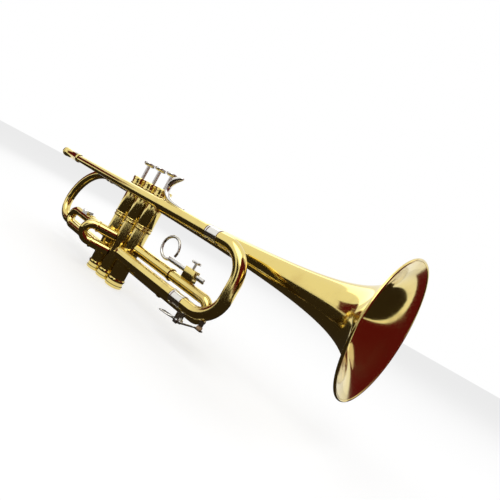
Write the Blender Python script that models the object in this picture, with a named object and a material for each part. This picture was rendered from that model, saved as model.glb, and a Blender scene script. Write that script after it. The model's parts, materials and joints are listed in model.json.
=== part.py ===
"""B-flat trumpet with three piston valves, modelled as the pieces that it comes apart into.

Metres, +Z up. +X runs forward to the bell and +Y to the player's left. The origin is on the axis of
the second valve, where the left hand holds the valve block.
"""
import math

import bmesh
import bpy
from mathutils import Matrix, Vector

# Clearances between separate pieces
SEAT_GAP = 0.0003
RUNNING_GAP = 0.0003
WELD = 0.000001
SHARP_ANGLE = math.radians(40)

# How finely round shapes are divided
BELL_SIDES = 28
TUBE_SIDES = 12
SLIDE_SIDES = 12
CASING_SIDES = 18
PISTON_SIDES = 14
SMALL_SIDES = 10
ARC_STEPS = 4

# Heights, as drops below the leadpipe's axis
LEADPIPE_HEIGHT = 0.045
BELL_DROP = 0.0018
LOWER_LEG_DROP = 0.0713
THIRD_SLIDE_DROP = 0.0598
FIRST_SLIDE_DROP = 0.0648
SECOND_SLIDE_DROP = 0.0605
VALVE_SLIDE_SPREAD = 0.0207
BELL_TAIL_DROP = 0.087
REAR_LINK_DROP = 0.044
FRONT_LINK_DROP = 0.050

# Valve block
CASING_RADIUS = 0.0098
CASING_WALL = 0.0012
CASING_SPACE = 0.0035
CASING_TOP_RISE = 0.0142
CASING_BOTTOM_DROP = 0.110
UPPER_CASING_PROUD = 0.0006
RING_DROP = 0.0348
RING_PROUD = 0.0011
LINK_RADIUS = 0.005
PORT_RADIUS = 0.004
CAP_WALL = 0.0009
CAP_SKIRT = 0.0085
CAP_PLATE = 0.002
BOTTOM_CAP_HEIGHT = 0.0113
BOTTOM_CAP_PLATE = 0.0025
VENT_RADIUS = 0.002

# Valve pieces
DRUM_TOP_DROP = 0.032
DRUM_LENGTH = 0.054
BARREL_RADIUS = 0.0076
BARREL_WALL = 0.0011
BARREL_TOP_RISE = 0.0107
BARREL_PLATE = 0.002
PASSAGE_RADIUS = 0.0046
PASSAGES = ((0.041, 0.0), (0.058, 65.0), (0.075, 130.0))
GUIDE_RADIUS = 0.0059
GUIDE_EAR = 0.003
GUIDE_THICKNESS = 0.0025
GUIDE_TOP_DROP = 0.022
STROKE = 0.0165
SPRING_RADIUS = 0.0052
SPRING_WIRE = 0.00045
SPRING_TURNS = 4
STEM_RADIUS = 0.0023
FELT_RADIUS = 0.007
BUTTON_DROP = 0.0335
BUTTON_RADIUS = 0.0078
BUTTON_THICKNESS = 0.0045
PEARL_RADIUS = 0.0062
PEARL_THICKNESS = 0.0014

# Leadpipe, receiver and tuning slide
PIPE_STANDOFF = 0.00365
SLEEVE_RADIUS = 0.00665
SLEEVE_WALL = 0.0004
RECEIVER_END = 0.1873
RECEIVER_LENGTH = 0.0443
RECEIVER_RADIUS = 0.0059
RECEIVER_MOUTH = 0.0048
RECEIVER_THROAT = 0.0044
LEADPIPE_REAR_RADIUS = 0.0049
LEADPIPE_FRONT_RADIUS = 0.0061
PIPE_WALL = 0.0005
SOCKET_DEPTH = 0.012
UPPER_SLEEVE_START = 0.050
SLEEVE_END = 0.130
LEG_START = 0.066
FERRULE_LENGTH = 0.016
FERRULE_PROUD = 0.0005
BOW_REACH = 0.1846
BOW_RADIUS = 0.0065
BOW_BEND = 0.028
ELBOW_BEND = 0.0095

# Bell
BELL_STANDOFF = 0.0022
BELL_RIM_X = 0.2964
BELL_RIM_RADIUS = 0.0615
BELL_FLARE_LENGTH = 0.00794
BELL_FLARE_POWER = 0.57
BELL_WALL = 0.0006
BELL_BEAD = 0.0011
BELL_STEM_END = 0.110
BELL_SEAM_X = 0.235
FLARE_STATIONS = 9
STEM_STATIONS = 6
TAIL_INSET = 0.0059
BELL_BOW_REACH = 0.1765
BELL_BOW_TOP_BEND = 0.0589
BELL_TAIL_RADIUS = 0.0058
BELL_FERRULE_LENGTH = 0.012
BELL_FERRULE_WALL = 0.0008

# Valve slides
VALVE_SLEEVE_RADIUS = 0.0064
VALVE_LEG_RADIUS = 0.0057
BEAD_PROUD = 0.0008
BEAD_LENGTH = 0.0024
THIRD_SLEEVE_END = 0.0977
THIRD_LEG_START = 0.060
THIRD_CROOK_REACH = 0.159
FIRST_SLIDE_Y = -0.004
FIRST_SLEEVE_END = 0.073
FIRST_LEG_START = 0.048
FIRST_CROOK_REACH = 0.119
SECOND_ANGLE = math.radians(48)
SECOND_SLEEVE_END = 0.035
SECOND_LEG_START = 0.016
SECOND_CROOK_REACH = 0.048

# Finger hook, ring and clamp
HOOK_HALF_WIDTH = 0.0036
RING_CENTRE = (0.077, 0.036)
RING_RADIUS = 0.0128
RING_WIRE = 0.0015
RING_START = math.radians(-62)
RING_TURN = math.radians(324)
BAR_END = 0.1393
BAR_DROP = 0.0465
BAR_HEIGHT = 0.0052
BAR_THICKNESS = 0.0026
CLAMP_START = 0.1117
CLAMP_END = 0.1275
CLAMP_HALF_WIDTH = 0.004
CLAMP_ROOF = 0.002
CLAMP_SCREW_RADIUS = 0.001
CLAMP_HEAD_RADIUS = 0.0055
CLAMP_HEAD_THICKNESS = 0.0025
CLAMP_NECK = 0.006

# Water key
KEY_PIVOT_X = 0.149
KEY_PIVOT_DROP = 0.0875
KEY_HALF_WIDTH = 0.0019
KEY_EAR = 0.0012
KEY_SADDLE_HALF_LENGTH = 0.0026
KEY_SADDLE_FLOOR = 0.0024
KEY_EAR_BELOW = 0.0024
KEY_SCREW_RADIUS = 0.0008
KEY_SCREW_HEAD = 0.0017
NIPPLE_X = 0.175
NIPPLE_RADIUS = 0.0024
NIPPLE_TIP_DROP = 0.078
DRAIN_RADIUS = 0.0012
CORK_RADIUS = 0.0029
CORK_THICKNESS = 0.002
KEY_PAD_HALF_THICKNESS = 0.0008

# Braces
BRACE_RADIUS = 0.0019
BRACE_FLANGE_RADIUS = 0.0042
BRACE_FLANGE_DEPTH = 0.003
FRONT_BRACE_X = 0.042
REAR_BRACE_X = -0.060

# Worked out from the sizes above
VALVE_PITCH = 2 * CASING_RADIUS + CASING_SPACE
CASING_BORE = CASING_RADIUS - CASING_WALL
CAP_BORE = CASING_RADIUS + SEAT_GAP
CAP_RADIUS = CAP_BORE + CAP_WALL
PISTON_RADIUS = CASING_BORE - RUNNING_GAP
PIPE_Y = -(CASING_RADIUS + PIPE_STANDOFF + SLEEVE_RADIUS)
LEG_RADIUS = SLEEVE_RADIUS - SLEEVE_WALL - RUNNING_GAP
VALVE_SLEEVE_BORE = VALVE_LEG_RADIUS + RUNNING_GAP
LEG_WALL = 0.00045

# Finishes: colour, metallic, roughness
BRASS = ((0.83, 0.62, 0.20, 1.0), 1.0, 0.16)
NICKEL = ((0.74, 0.73, 0.70, 1.0), 1.0, 0.20)
STEEL = ((0.55, 0.56, 0.58, 1.0), 1.0, 0.30)
MONEL = ((0.60, 0.58, 0.54, 1.0), 1.0, 0.25)
PEARL = ((0.86, 0.84, 0.80, 1.0), 0.0, 0.20)
FELT = ((0.60, 0.58, 0.55, 1.0), 0.0, 0.95)
CORK = ((0.55, 0.36, 0.20, 1.0), 0.0, 0.85)


def clear_scene():
    for thing in list(bpy.data.objects):
        bpy.data.objects.remove(thing, do_unlink=True)


def level(drop):
    """Height of a point that lies this far below the leadpipe's axis."""
    return LEADPIPE_HEIGHT - drop


def valve_x(number):
    return (number - 2) * VALVE_PITCH


def bell_radius(x):
    """Outer radius of the bell at x: a flare that falls off with the distance behind the rim."""
    behind = BELL_RIM_X - x
    return BELL_RIM_RADIUS * ((behind + BELL_FLARE_LENGTH) / BELL_FLARE_LENGTH) ** -BELL_FLARE_POWER


BELL_Y = CASING_RADIUS + BELL_STANDOFF + bell_radius(0.0)
TAIL_Y = BELL_Y - TAIL_INSET


def leadpipe_radius(x):
    """Outer radius of the leadpipe at x, from its thin rear end to its socket."""
    rear = RECEIVER_LENGTH - RECEIVER_END
    share = (x - rear) / (UPPER_SLEEVE_START - rear)
    return LEADPIPE_REAR_RADIUS + share * (LEADPIPE_FRONT_RADIUS - LEADPIPE_REAR_RADIUS)


def node(name, shape, finish):
    """Turn a bmesh into a named object with its own material."""
    bmesh.ops.remove_doubles(shape, verts=shape.verts, dist=WELD)
    bmesh.ops.recalc_face_normals(shape, faces=shape.faces)
    mesh = bpy.data.meshes.new(name)
    shape.to_mesh(mesh)
    shape.free()
    mesh.shade_smooth()
    mesh.set_sharp_from_angle(angle=SHARP_ANGLE)
    colour, metallic, roughness = finish
    material = bpy.data.materials.new(name + "_finish")
    material.use_nodes = True
    shader = material.node_tree.nodes["Principled BSDF"]
    shader.inputs["Base Color"].default_value = colour
    shader.inputs["Metallic"].default_value = metallic
    shader.inputs["Roughness"].default_value = roughness
    mesh.materials.append(material)
    thing = bpy.data.objects.new(name, mesh)
    bpy.context.scene.collection.objects.link(thing)
    return thing


def set_origin(thing, point):
    """Move an object's origin to a point on its joint's axis."""
    thing.data.transform(Matrix.Translation(-Vector(point)))
    thing.location = point


def aimed(base, direction):
    """Placement that turns +Z to the direction and starts at the base."""
    turn = Vector(direction).to_track_quat("Z", "Y").to_matrix().to_4x4()
    return Matrix.Translation(base) @ turn


def turned(name, profile, base, direction, sides, finish):
    """Spin a profile of (radius, distance along the axis). Ends on the axis close a solid piece."""
    shape = bmesh.new()
    points = [shape.verts.new((radius, 0.0, along)) for radius, along in profile]
    edges = [shape.edges.new(pair) for pair in zip(points, points[1:])]
    if profile[0][0] > 0.0:
        edges.append(shape.edges.new((points[-1], points[0])))
    bmesh.ops.spin(shape, geom=points + edges, cent=(0, 0, 0), axis=(0, 0, 1),
                   angle=2 * math.pi, steps=sides, use_duplicate=False)
    shape.transform(aimed(base, direction))
    return node(name, shape, finish)


def tool(thing):
    """Mark an object as a cutter or as stock for a union, which isn't a piece."""
    thing.hide_render = True
    thing.display_type = "WIRE"
    return thing


def rod_tool(start, end, radius, sides=CASING_SIDES):
    start, end = Vector(start), Vector(end)
    length = (end - start).length
    profile = [(0.0, 0.0), (radius, 0.0), (radius, length), (0.0, length)]
    return tool(turned("tool", profile, start, end - start, sides, STEEL))


def box_shape(low, high):
    shape = bmesh.new()
    bmesh.ops.create_cube(shape, size=1.0)
    low, high = Vector(low), Vector(high)
    for vert in shape.verts:
        for axis in range(3):
            vert.co[axis] = high[axis] if vert.co[axis] > 0 else low[axis]
    return shape


def box_tool(low, high):
    return tool(node("tool", box_shape(low, high), STEEL))


def boolean(target, other, operation):
    change = target.modifiers.new(operation.lower(), "BOOLEAN")
    change.operation = operation
    change.solver = "EXACT"
    change.object = other


def cut(target, other):
    boolean(target, other, "DIFFERENCE")


def join(target, other):
    boolean(target, other, "UNION")


def bent_path(corners, bends):
    """Stations (point, direction) along straight runs, with an arc at each inner corner."""
    corners = [Vector(corner) for corner in corners]
    stations = [(corners[0], (corners[1] - corners[0]).normalized())]
    for before, corner, after, bend in zip(corners, corners[1:], corners[2:], bends):
        inward = (corner - before).normalized()
        outward = (after - corner).normalized()
        turn = inward.angle(outward)
        side = (outward - inward * outward.dot(inward)).normalized()
        start = corner - inward * bend * math.tan(turn / 2)
        for step in range(ARC_STEPS + 1):
            angle = turn * step / ARC_STEPS
            point = start + side * bend * (1 - math.cos(angle)) + inward * bend * math.sin(angle)
            direction = inward * math.cos(angle) + side * math.sin(angle)
            if (point - stations[-1][0]).length > WELD * 100:
                stations.append((point, direction))
    if (corners[-1] - stations[-1][0]).length > WELD * 100:
        stations.append((corners[-1], (corners[-1] - corners[-2]).normalized()))
    return stations


def swept(name, stations, outer, walls, sides, finish):
    """Tube along the stations, whose outer radius runs evenly between two values. No wall: solid."""
    first, last = outer
    shape = bmesh.new()
    direction = stations[0][1]
    upright = Vector((0, 0, 1)) if abs(direction.z) < 0.9 else Vector((0, 1, 0))
    outer_rings = []
    inner_rings = []
    for index, (point, direction) in enumerate(stations):
        upright = (upright - direction * upright.dot(direction)).normalized()
        across = direction.cross(upright)
        radius = first + (last - first) * index / (len(stations) - 1)
        rings = [(outer_rings, radius)]
        if walls:
            rings.append((inner_rings, radius - walls))
        for ring_list, ring_radius in rings:
            ring_list.append([])
            for side in range(sides):
                angle = 2 * math.pi * side / sides
                offset = upright * math.cos(angle) + across * math.sin(angle)
                ring_list[-1].append(shape.verts.new(point + offset * ring_radius))
    loops = outer_rings + inner_rings[::-1]
    if walls:
        loops.append(outer_rings[0])
    for ring, following in zip(loops, loops[1:]):
        for side in range(sides):
            after = (side + 1) % sides
            shape.faces.new((ring[side], ring[after], following[after], following[side]))
    if not walls:
        shape.faces.new(outer_rings[0])
        shape.faces.new(outer_rings[-1])
    return node(name, shape, finish)


def flat_bar(name, stations, finish):
    """Bar through stations (x, height, half thickness, half width) in the leadpipe's plane."""
    shape = bmesh.new()
    rings = []
    for index, (x, z, half_thickness, half_width) in enumerate(stations):
        before = stations[max(index - 1, 0)]
        after = stations[min(index + 1, len(stations) - 1)]
        direction = Vector((after[0] - before[0], 0, after[1] - before[1])).normalized()
        normal = Vector((-direction.z, 0, direction.x))
        middle = Vector((x, PIPE_Y, z))
        rings.append([shape.verts.new(middle + normal * half_thickness * up + Vector((0, half_width * out, 0)))
                      for up, out in ((1, -0.6), (1, 0.6), (0.4, 1), (-0.4, 1), (-1, 0.6), (-1, -0.6),
                                      (-0.4, -1), (0.4, -1))])
    sides = len(rings[0])
    for ring, following in zip(rings, rings[1:]):
        for side in range(sides):
            after = (side + 1) % sides
            shape.faces.new((ring[side], ring[after], following[after], following[side]))
    shape.faces.new(rings[0])
    shape.faces.new(rings[-1])
    return node(name, shape, finish)


def helix(base, radius, length, turns, wire, name, axis, finish):
    """Round wire wound along an axis from the base."""
    placement = aimed(base, axis)
    turn_steps = 6
    stations = []
    for step in range(turns * turn_steps + 1):
        angle = 2 * math.pi * step / turn_steps
        pitch = length / (turns * 2 * math.pi)
        point = placement @ Vector((radius * math.cos(angle), radius * math.sin(angle), pitch * angle))
        along = Vector((-radius * math.sin(angle), radius * math.cos(angle), pitch))
        stations.append((point, (placement.to_3x3() @ along).normalized()))
    return swept(name, stations, (wire, wire), 0, 5, finish)


def casing_tool(number):
    """Cylinder round one casing, which fits the ends of its tubes to it."""
    x = valve_x(number)
    radius = CASING_RADIUS + SEAT_GAP
    return rod_tool((x, 0, level(CASING_BOTTOM_DROP)), (x, 0, level(0.036)), radius, CASING_SIDES)


def build_casing(number, ports):
    x = valve_x(number)
    upper = CASING_RADIUS + UPPER_CASING_PROUD
    ring = CASING_RADIUS + RING_PROUD
    skirt = level(0) + CASING_TOP_RISE + SEAT_GAP - CAP_SKIRT
    profile = [
        (CASING_BORE, level(CASING_BOTTOM_DROP)),
        (CASING_RADIUS, level(CASING_BOTTOM_DROP)),
        (CASING_RADIUS, level(RING_DROP + 0.003)),
        (ring, level(RING_DROP + 0.0022)),
        (ring, level(RING_DROP + 0.0008)),
        (CASING_RADIUS, level(RING_DROP)),
        (ring, level(RING_DROP - 0.0008)),
        (ring, level(RING_DROP - 0.0022)),
        (upper, level(RING_DROP - 0.003)),
        (upper, skirt - SEAT_GAP),
        (CASING_RADIUS, skirt - SEAT_GAP),
        (CASING_RADIUS, level(-CASING_TOP_RISE)),
        (CASING_BORE, level(-CASING_TOP_RISE)),
    ]
    casing = turned("valve_casing_%d" % number, profile, (x, 0, 0), (0, 0, 1), CASING_SIDES, BRASS)
    if number == 2:
        rear = rod_tool((-VALVE_PITCH, 0, level(REAR_LINK_DROP)), (0, 0, level(REAR_LINK_DROP)), LINK_RADIUS)
        front = rod_tool((0, 0, level(FRONT_LINK_DROP)), (VALVE_PITCH, 0, level(FRONT_LINK_DROP)), LINK_RADIUS)
        join(casing, rear)
        join(casing, front)
        for neighbour in (1, 3):
            cut(casing, casing_tool(neighbour))
        bore_low = (0, 0, level(CASING_BOTTOM_DROP))
        cut(casing, rod_tool(bore_low, (0, 0, level(-CASING_TOP_RISE)), CASING_BORE))
    for direction, drop, y, radius in ports:
        reach = Vector(direction).normalized() * VALVE_PITCH * 0.6
        start = Vector((x, y, level(drop)))
        cut(casing, rod_tool(start, start + reach, radius, SMALL_SIDES))


def build_caps(number):
    x = valve_x(number)
    top = CASING_TOP_RISE + SEAT_GAP
    hole = STEM_RADIUS + RUNNING_GAP
    profile = [
        (CAP_RADIUS, level(-top) - CAP_SKIRT),
        (CAP_RADIUS, level(-top) + CAP_PLATE * 0.6),
        (CAP_RADIUS - 0.0008, level(-top) + CAP_PLATE),
        (hole, level(-top) + CAP_PLATE),
        (hole, level(-top)),
        (CAP_BORE, level(-top)),
        (CAP_BORE, level(-top) - CAP_SKIRT),
    ]
    turned("top_cap_%d" % number, profile, (x, 0, 0), (0, 0, 1), CASING_SIDES, BRASS)
    floor = level(CASING_BOTTOM_DROP + SEAT_GAP)
    foot = floor - BOTTOM_CAP_PLATE
    profile = [
        (CAP_RADIUS, foot + BOTTOM_CAP_HEIGHT),
        (CAP_RADIUS, foot + 0.0008),
        (CAP_RADIUS - 0.0008, foot),
        (VENT_RADIUS, foot),
        (VENT_RADIUS, floor),
        (CAP_BORE, floor),
        (CAP_BORE, foot + BOTTOM_CAP_HEIGHT),
    ]
    turned("bottom_cap_%d" % number, profile, (x, 0, 0), (0, 0, 1), CASING_SIDES, BRASS)


def build_piston(number):
    x = valve_x(number)
    bottom = level(DRUM_TOP_DROP + DRUM_LENGTH)
    bore = BARREL_RADIUS - BARREL_WALL
    stem_hole = STEM_RADIUS + SEAT_GAP
    under_plate = level(-BARREL_TOP_RISE) - BARREL_PLATE
    profile = [
        (0.0, bottom),
        (PISTON_RADIUS, bottom),
        (PISTON_RADIUS, level(DRUM_TOP_DROP)),
        (BARREL_RADIUS, level(DRUM_TOP_DROP)),
        (BARREL_RADIUS, level(-BARREL_TOP_RISE)),
        (stem_hole, level(-BARREL_TOP_RISE)),
        (stem_hole, under_plate),
        (bore, under_plate),
        (bore, level(DRUM_TOP_DROP - 0.002)),
        (0.0, level(DRUM_TOP_DROP - 0.002)),
    ]
    piston = turned("piston_%d" % number, profile, (x, 0, 0), (0, 0, 1), PISTON_SIDES, MONEL)
    for drop, degrees in PASSAGES:
        angle = math.radians(degrees)
        half = Vector((math.cos(angle), math.sin(angle), 0)) * PISTON_RADIUS * 1.5
        middle = Vector((x, 0, level(drop)))
        cut(piston, rod_tool(middle - half, middle + half, PASSAGE_RADIUS, SMALL_SIDES))
    slot_half = GUIDE_EAR / 2 + RUNNING_GAP
    slot_bottom = level(GUIDE_TOP_DROP + GUIDE_THICKNESS + RUNNING_GAP)
    slot_top = slot_bottom + GUIDE_THICKNESS + STROKE + 2 * RUNNING_GAP
    cut(piston, box_tool((x - CASING_RADIUS, -slot_half, slot_bottom),
                         (x + CASING_RADIUS, slot_half, slot_top)))
    set_origin(piston, (x, 0, level(0)))


def build_guide(number):
    """Guide disc, whose two ears stand in the casing's notches and keep the piston from turning."""
    x = valve_x(number)
    half = GUIDE_EAR / 2
    corner = math.asin(half / GUIDE_RADIUS)
    outline = []
    for turn in (0.0, math.pi):
        for side in (-half, half):
            outline.append((PISTON_RADIUS * math.cos(turn) - side * math.sin(turn),
                            PISTON_RADIUS * math.sin(turn) + side * math.cos(turn)))
        for step in range(6):
            angle = turn + corner + (math.pi - 2 * corner) * step / 5
            outline.append((GUIDE_RADIUS * math.cos(angle), GUIDE_RADIUS * math.sin(angle)))
    shape = bmesh.new()
    low = level(GUIDE_TOP_DROP + GUIDE_THICKNESS)
    face = shape.faces.new([shape.verts.new((x + across, along, low)) for across, along in outline])
    raised = bmesh.ops.extrude_face_region(shape, geom=[face])
    lifted = [item for item in raised["geom"] if isinstance(item, bmesh.types.BMVert)]
    bmesh.ops.translate(shape, verts=lifted, vec=(0, 0, GUIDE_THICKNESS))
    node("valve_guide_%d" % number, shape, BRASS)


def build_valve(number):
    x = valve_x(number)
    build_piston(number)
    build_guide(number)
    coil_low = level(GUIDE_TOP_DROP) + SPRING_WIRE + SEAT_GAP
    coil_high = level(-BARREL_TOP_RISE) - BARREL_PLATE - SPRING_WIRE - SEAT_GAP
    helix((x, 0, coil_low), SPRING_RADIUS, coil_high - coil_low, SPRING_TURNS, SPRING_WIRE,
          "valve_spring_%d" % number, (0, 0, 1), STEEL)
    button_low = level(-BUTTON_DROP)
    stem_low = level(-BARREL_TOP_RISE) - BARREL_PLATE + SEAT_GAP
    stem_top = button_low - SEAT_GAP
    profile = [(0.0, stem_low), (STEM_RADIUS, stem_low), (STEM_RADIUS, stem_top), (0.0, stem_top)]
    stem = turned("valve_stem_%d" % number, profile, (x, 0, 0), (0, 0, 1), SMALL_SIDES, NICKEL)
    felt_low = level(-BARREL_TOP_RISE) + SEAT_GAP
    felt_top = level(-CASING_TOP_RISE)
    felt_hole = STEM_RADIUS + SEAT_GAP
    profile = [(felt_hole, felt_low), (FELT_RADIUS, felt_low), (FELT_RADIUS, felt_top), (felt_hole, felt_top)]
    felt = turned("valve_felt_%d" % number, profile, (x, 0, 0), (0, 0, 1), SMALL_SIDES, FELT)
    rim = button_low + BUTTON_THICKNESS
    seat = rim - PEARL_THICKNESS * 0.6
    profile = [(0.0, button_low), (BUTTON_RADIUS * 0.9, button_low), (BUTTON_RADIUS, button_low + 0.001),
               (BUTTON_RADIUS, rim - 0.0007), (BUTTON_RADIUS * 0.94, rim), (PEARL_RADIUS + SEAT_GAP, rim),
               (PEARL_RADIUS + SEAT_GAP, seat - SEAT_GAP), (0.0, seat - SEAT_GAP)]
    button = turned("finger_button_%d" % number, profile, (x, 0, 0), (0, 0, 1), CASING_SIDES, NICKEL)
    profile = [(0.0, seat), (PEARL_RADIUS, seat), (PEARL_RADIUS, rim), (PEARL_RADIUS * 0.7, rim + 0.0005),
               (0.0, seat + PEARL_THICKNESS)]
    pearl = turned("button_pearl_%d" % number, profile, (x, 0, 0), (0, 0, 1), CASING_SIDES, PEARL)
    for piece in (stem, felt, button, pearl):
        set_origin(piece, (x, 0, level(0)))


def valve_sleeve(name, start, direction, length, number):
    """Fixed sleeve of a valve slide, from its casing to a beaded end."""
    radius = VALVE_SLEEVE_RADIUS
    bead = radius + BEAD_PROUD
    profile = [(VALVE_SLEEVE_BORE, 0.0), (radius, 0.0), (radius, length - BEAD_LENGTH), (bead, length - BEAD_LENGTH * 0.8),
               (bead, length - BEAD_LENGTH * 0.2), (radius, length), (VALVE_SLEEVE_BORE, length)]
    sleeve = turned(name, profile, start, direction, SLIDE_SIDES, BRASS)
    cut(sleeve, casing_tool(number))


def valve_slide(name, start, direction, leg_start, reach):
    """Two legs and a half-round crook, hanging one leg below the other."""
    start, direction = Vector(start), Vector(direction).normalized()
    fall = Vector((0, 0, -VALVE_SLIDE_SPREAD))
    corners = [start + direction * leg_start, start + direction * reach,
               start + direction * reach + fall, start + direction * leg_start + fall]
    bend = VALVE_SLIDE_SPREAD / 2
    slide = swept(name, bent_path(corners, (bend, bend)), (VALVE_LEG_RADIUS, VALVE_LEG_RADIUS),
                  LEG_WALL, SLIDE_SIDES, BRASS)
    return slide


def build_valve_slides():
    runs = (
        ("first", 1, (valve_x(1), FIRST_SLIDE_Y, level(FIRST_SLIDE_DROP)), (-1, 0, 0),
         FIRST_SLEEVE_END + valve_x(1), FIRST_LEG_START + valve_x(1), FIRST_CROOK_REACH + valve_x(1)),
        ("second", 2, (0, 0, level(SECOND_SLIDE_DROP)), (-math.cos(SECOND_ANGLE), -math.sin(SECOND_ANGLE), 0),
         SECOND_SLEEVE_END, SECOND_LEG_START, SECOND_CROOK_REACH),
        ("third", 3, (valve_x(3), 0, level(THIRD_SLIDE_DROP)), (1, 0, 0),
         THIRD_SLEEVE_END - valve_x(3), THIRD_LEG_START - valve_x(3), THIRD_CROOK_REACH - valve_x(3)),
    )
    slides = {}
    for word, number, start, direction, sleeve_length, leg_start, reach in runs:
        for place, fall in (("upper", 0.0), ("lower", VALVE_SLIDE_SPREAD)):
            base = Vector(start) - Vector((0, 0, fall))
            valve_sleeve("%s_slide_sleeve_%s" % (word, place), base, direction, sleeve_length, number)
        slides[word] = valve_slide("%s_slide" % word, start, direction, leg_start, reach)
    build_clamp(slides["third"])
    set_origin(slides["first"], (valve_x(1), FIRST_SLIDE_Y, level(FIRST_SLIDE_DROP)))
    set_origin(slides["second"], (0, 0, level(SECOND_SLIDE_DROP)))
    build_thumb_saddle()


def build_thumb_saddle():
    top = level(FIRST_SLIDE_DROP) + VALVE_LEG_RADIUS
    saddle = node("first_slide_thumb_saddle",
                  box_shape((-0.093, FIRST_SLIDE_Y - 0.005, top - 0.0028), (-0.081, FIRST_SLIDE_Y + 0.005, top + 0.0032)),
                  NICKEL)
    leg = rod_tool((-0.1, FIRST_SLIDE_Y, level(FIRST_SLIDE_DROP)), (-0.07, FIRST_SLIDE_Y, level(FIRST_SLIDE_DROP)),
                   VALVE_LEG_RADIUS + SEAT_GAP, SLIDE_SIDES)
    cut(saddle, leg)
    thumb = rod_tool((-0.087, FIRST_SLIDE_Y - 0.01, top + 0.0095), (-0.087, FIRST_SLIDE_Y + 0.01, top + 0.0095), 0.0078)
    cut(saddle, thumb)


def build_clamp(slide):
    """Block on the third slide that holds the finger ring's bar, and its thumb screw."""
    tube_top = level(THIRD_SLIDE_DROP) + VALVE_LEG_RADIUS
    bar_top = level(BAR_DROP) + BAR_HEIGHT / 2
    bar_low = level(BAR_DROP) - BAR_HEIGHT / 2
    block_top = bar_top + RUNNING_GAP + CLAMP_ROOF
    block = box_tool((CLAMP_START, -CLAMP_HALF_WIDTH, tube_top - LEG_WALL / 2),
                     (CLAMP_END, CLAMP_HALF_WIDTH, block_top))
    join(slide, block)
    half = BAR_THICKNESS / 2 + RUNNING_GAP
    cut(slide, box_tool((CLAMP_START - 0.001, -half, bar_low - RUNNING_GAP),
                        (CLAMP_END + 0.001, half, bar_top + RUNNING_GAP)))
    x = (CLAMP_START + CLAMP_END) / 2
    cut(slide, rod_tool((x, 0, bar_top), (x, 0, block_top + 0.001), CLAMP_SCREW_RADIUS + RUNNING_GAP, SMALL_SIDES))
    set_origin(slide, (valve_x(3), 0, level(THIRD_SLIDE_DROP)))
    tip = bar_top + SEAT_GAP
    neck = block_top + SEAT_GAP
    head = neck + CLAMP_NECK
    top = head + CLAMP_HEAD_THICKNESS
    profile = [(0.0, tip), (CLAMP_SCREW_RADIUS, tip), (CLAMP_SCREW_RADIUS, neck), (0.0016, neck), (0.0016, head),
               (CLAMP_HEAD_RADIUS, head + 0.0004), (CLAMP_HEAD_RADIUS, top - 0.0004), (0.0, top)]
    screw = turned("ring_clamp_screw", profile, (x, 0, 0), (0, 0, 1), CASING_SIDES, NICKEL)
    set_origin(screw, (x, 0, level(BAR_DROP)))


def build_finger_ring():
    centre = Vector((RING_CENTRE[0], 0, level(RING_CENTRE[1])))
    stations = []
    ring_steps = 14
    for step in range(ring_steps + 1):
        angle = RING_START - RING_TURN * step / ring_steps
        point = centre + Vector((math.cos(angle), 0, math.sin(angle))) * RING_RADIUS
        stations.append((point, Vector((math.sin(angle), 0, -math.cos(angle)))))
    ring = swept("third_slide_finger_ring", stations, (RING_WIRE * 1.3, RING_WIRE), 0, 8, NICKEL)
    low = level(BAR_DROP) - BAR_HEIGHT / 2
    bar = box_tool((RING_CENTRE[0] + BAR_HEIGHT, -BAR_THICKNESS / 2, low), (BAR_END, BAR_THICKNESS / 2, low + BAR_HEIGHT))
    join(ring, bar)
    set_origin(ring, (BAR_END, 0, level(BAR_DROP)))


def build_leadpipe():
    mouth = -RECEIVER_END
    front = RECEIVER_LENGTH - RECEIVER_END
    seat = front - SOCKET_DEPTH
    rear = seat + SEAT_GAP
    bore = LEADPIPE_REAR_RADIUS + SEAT_GAP
    ring = RECEIVER_RADIUS + 0.0004
    profile = [(RECEIVER_MOUTH, mouth), (ring, mouth), (ring, mouth + 0.004), (RECEIVER_RADIUS, mouth + 0.005),
               (RECEIVER_RADIUS, front - 0.001), (RECEIVER_RADIUS - 0.0004, front), (bore, front), (bore, seat),
               (RECEIVER_THROAT, seat)]
    turned("mouthpiece_receiver", profile, (0, PIPE_Y, level(0)), (1, 0, 0), SLIDE_SIDES, BRASS)
    spigot = LEG_RADIUS
    end = UPPER_SLEEVE_START - SEAT_GAP
    inner = LEADPIPE_REAR_RADIUS - PIPE_WALL
    profile = [(inner, rear), (LEADPIPE_REAR_RADIUS, rear), (LEADPIPE_REAR_RADIUS, front),
               (LEADPIPE_FRONT_RADIUS, end), (spigot, end), (spigot, end + SOCKET_DEPTH),
               (spigot - PIPE_WALL, end + SOCKET_DEPTH)]
    turned("leadpipe", profile, (0, PIPE_Y, level(0)), (1, 0, 0), SLIDE_SIDES, BRASS)
    length = SLEEVE_END - UPPER_SLEEVE_START
    bore = SLEEVE_RADIUS - SLEEVE_WALL
    profile = [(bore, 0.0), (SLEEVE_RADIUS, 0.0), (SLEEVE_RADIUS, length), (bore, length)]
    turned("upper_slide_sleeve", profile, (UPPER_SLEEVE_START, PIPE_Y, level(0)), (1, 0, 0), SLIDE_SIDES, BRASS)
    low = level(LOWER_LEG_DROP)
    corners = [(SLEEVE_END, PIPE_Y, low), (valve_x(3), PIPE_Y, low), (valve_x(3), -CASING_RADIUS / 2, low)]
    lower = swept("lower_slide_sleeve", bent_path(corners, (ELBOW_BEND,)), (SLEEVE_RADIUS, SLEEVE_RADIUS),
                  SLEEVE_WALL, SLIDE_SIDES, BRASS)
    cut(lower, casing_tool(3))


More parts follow.
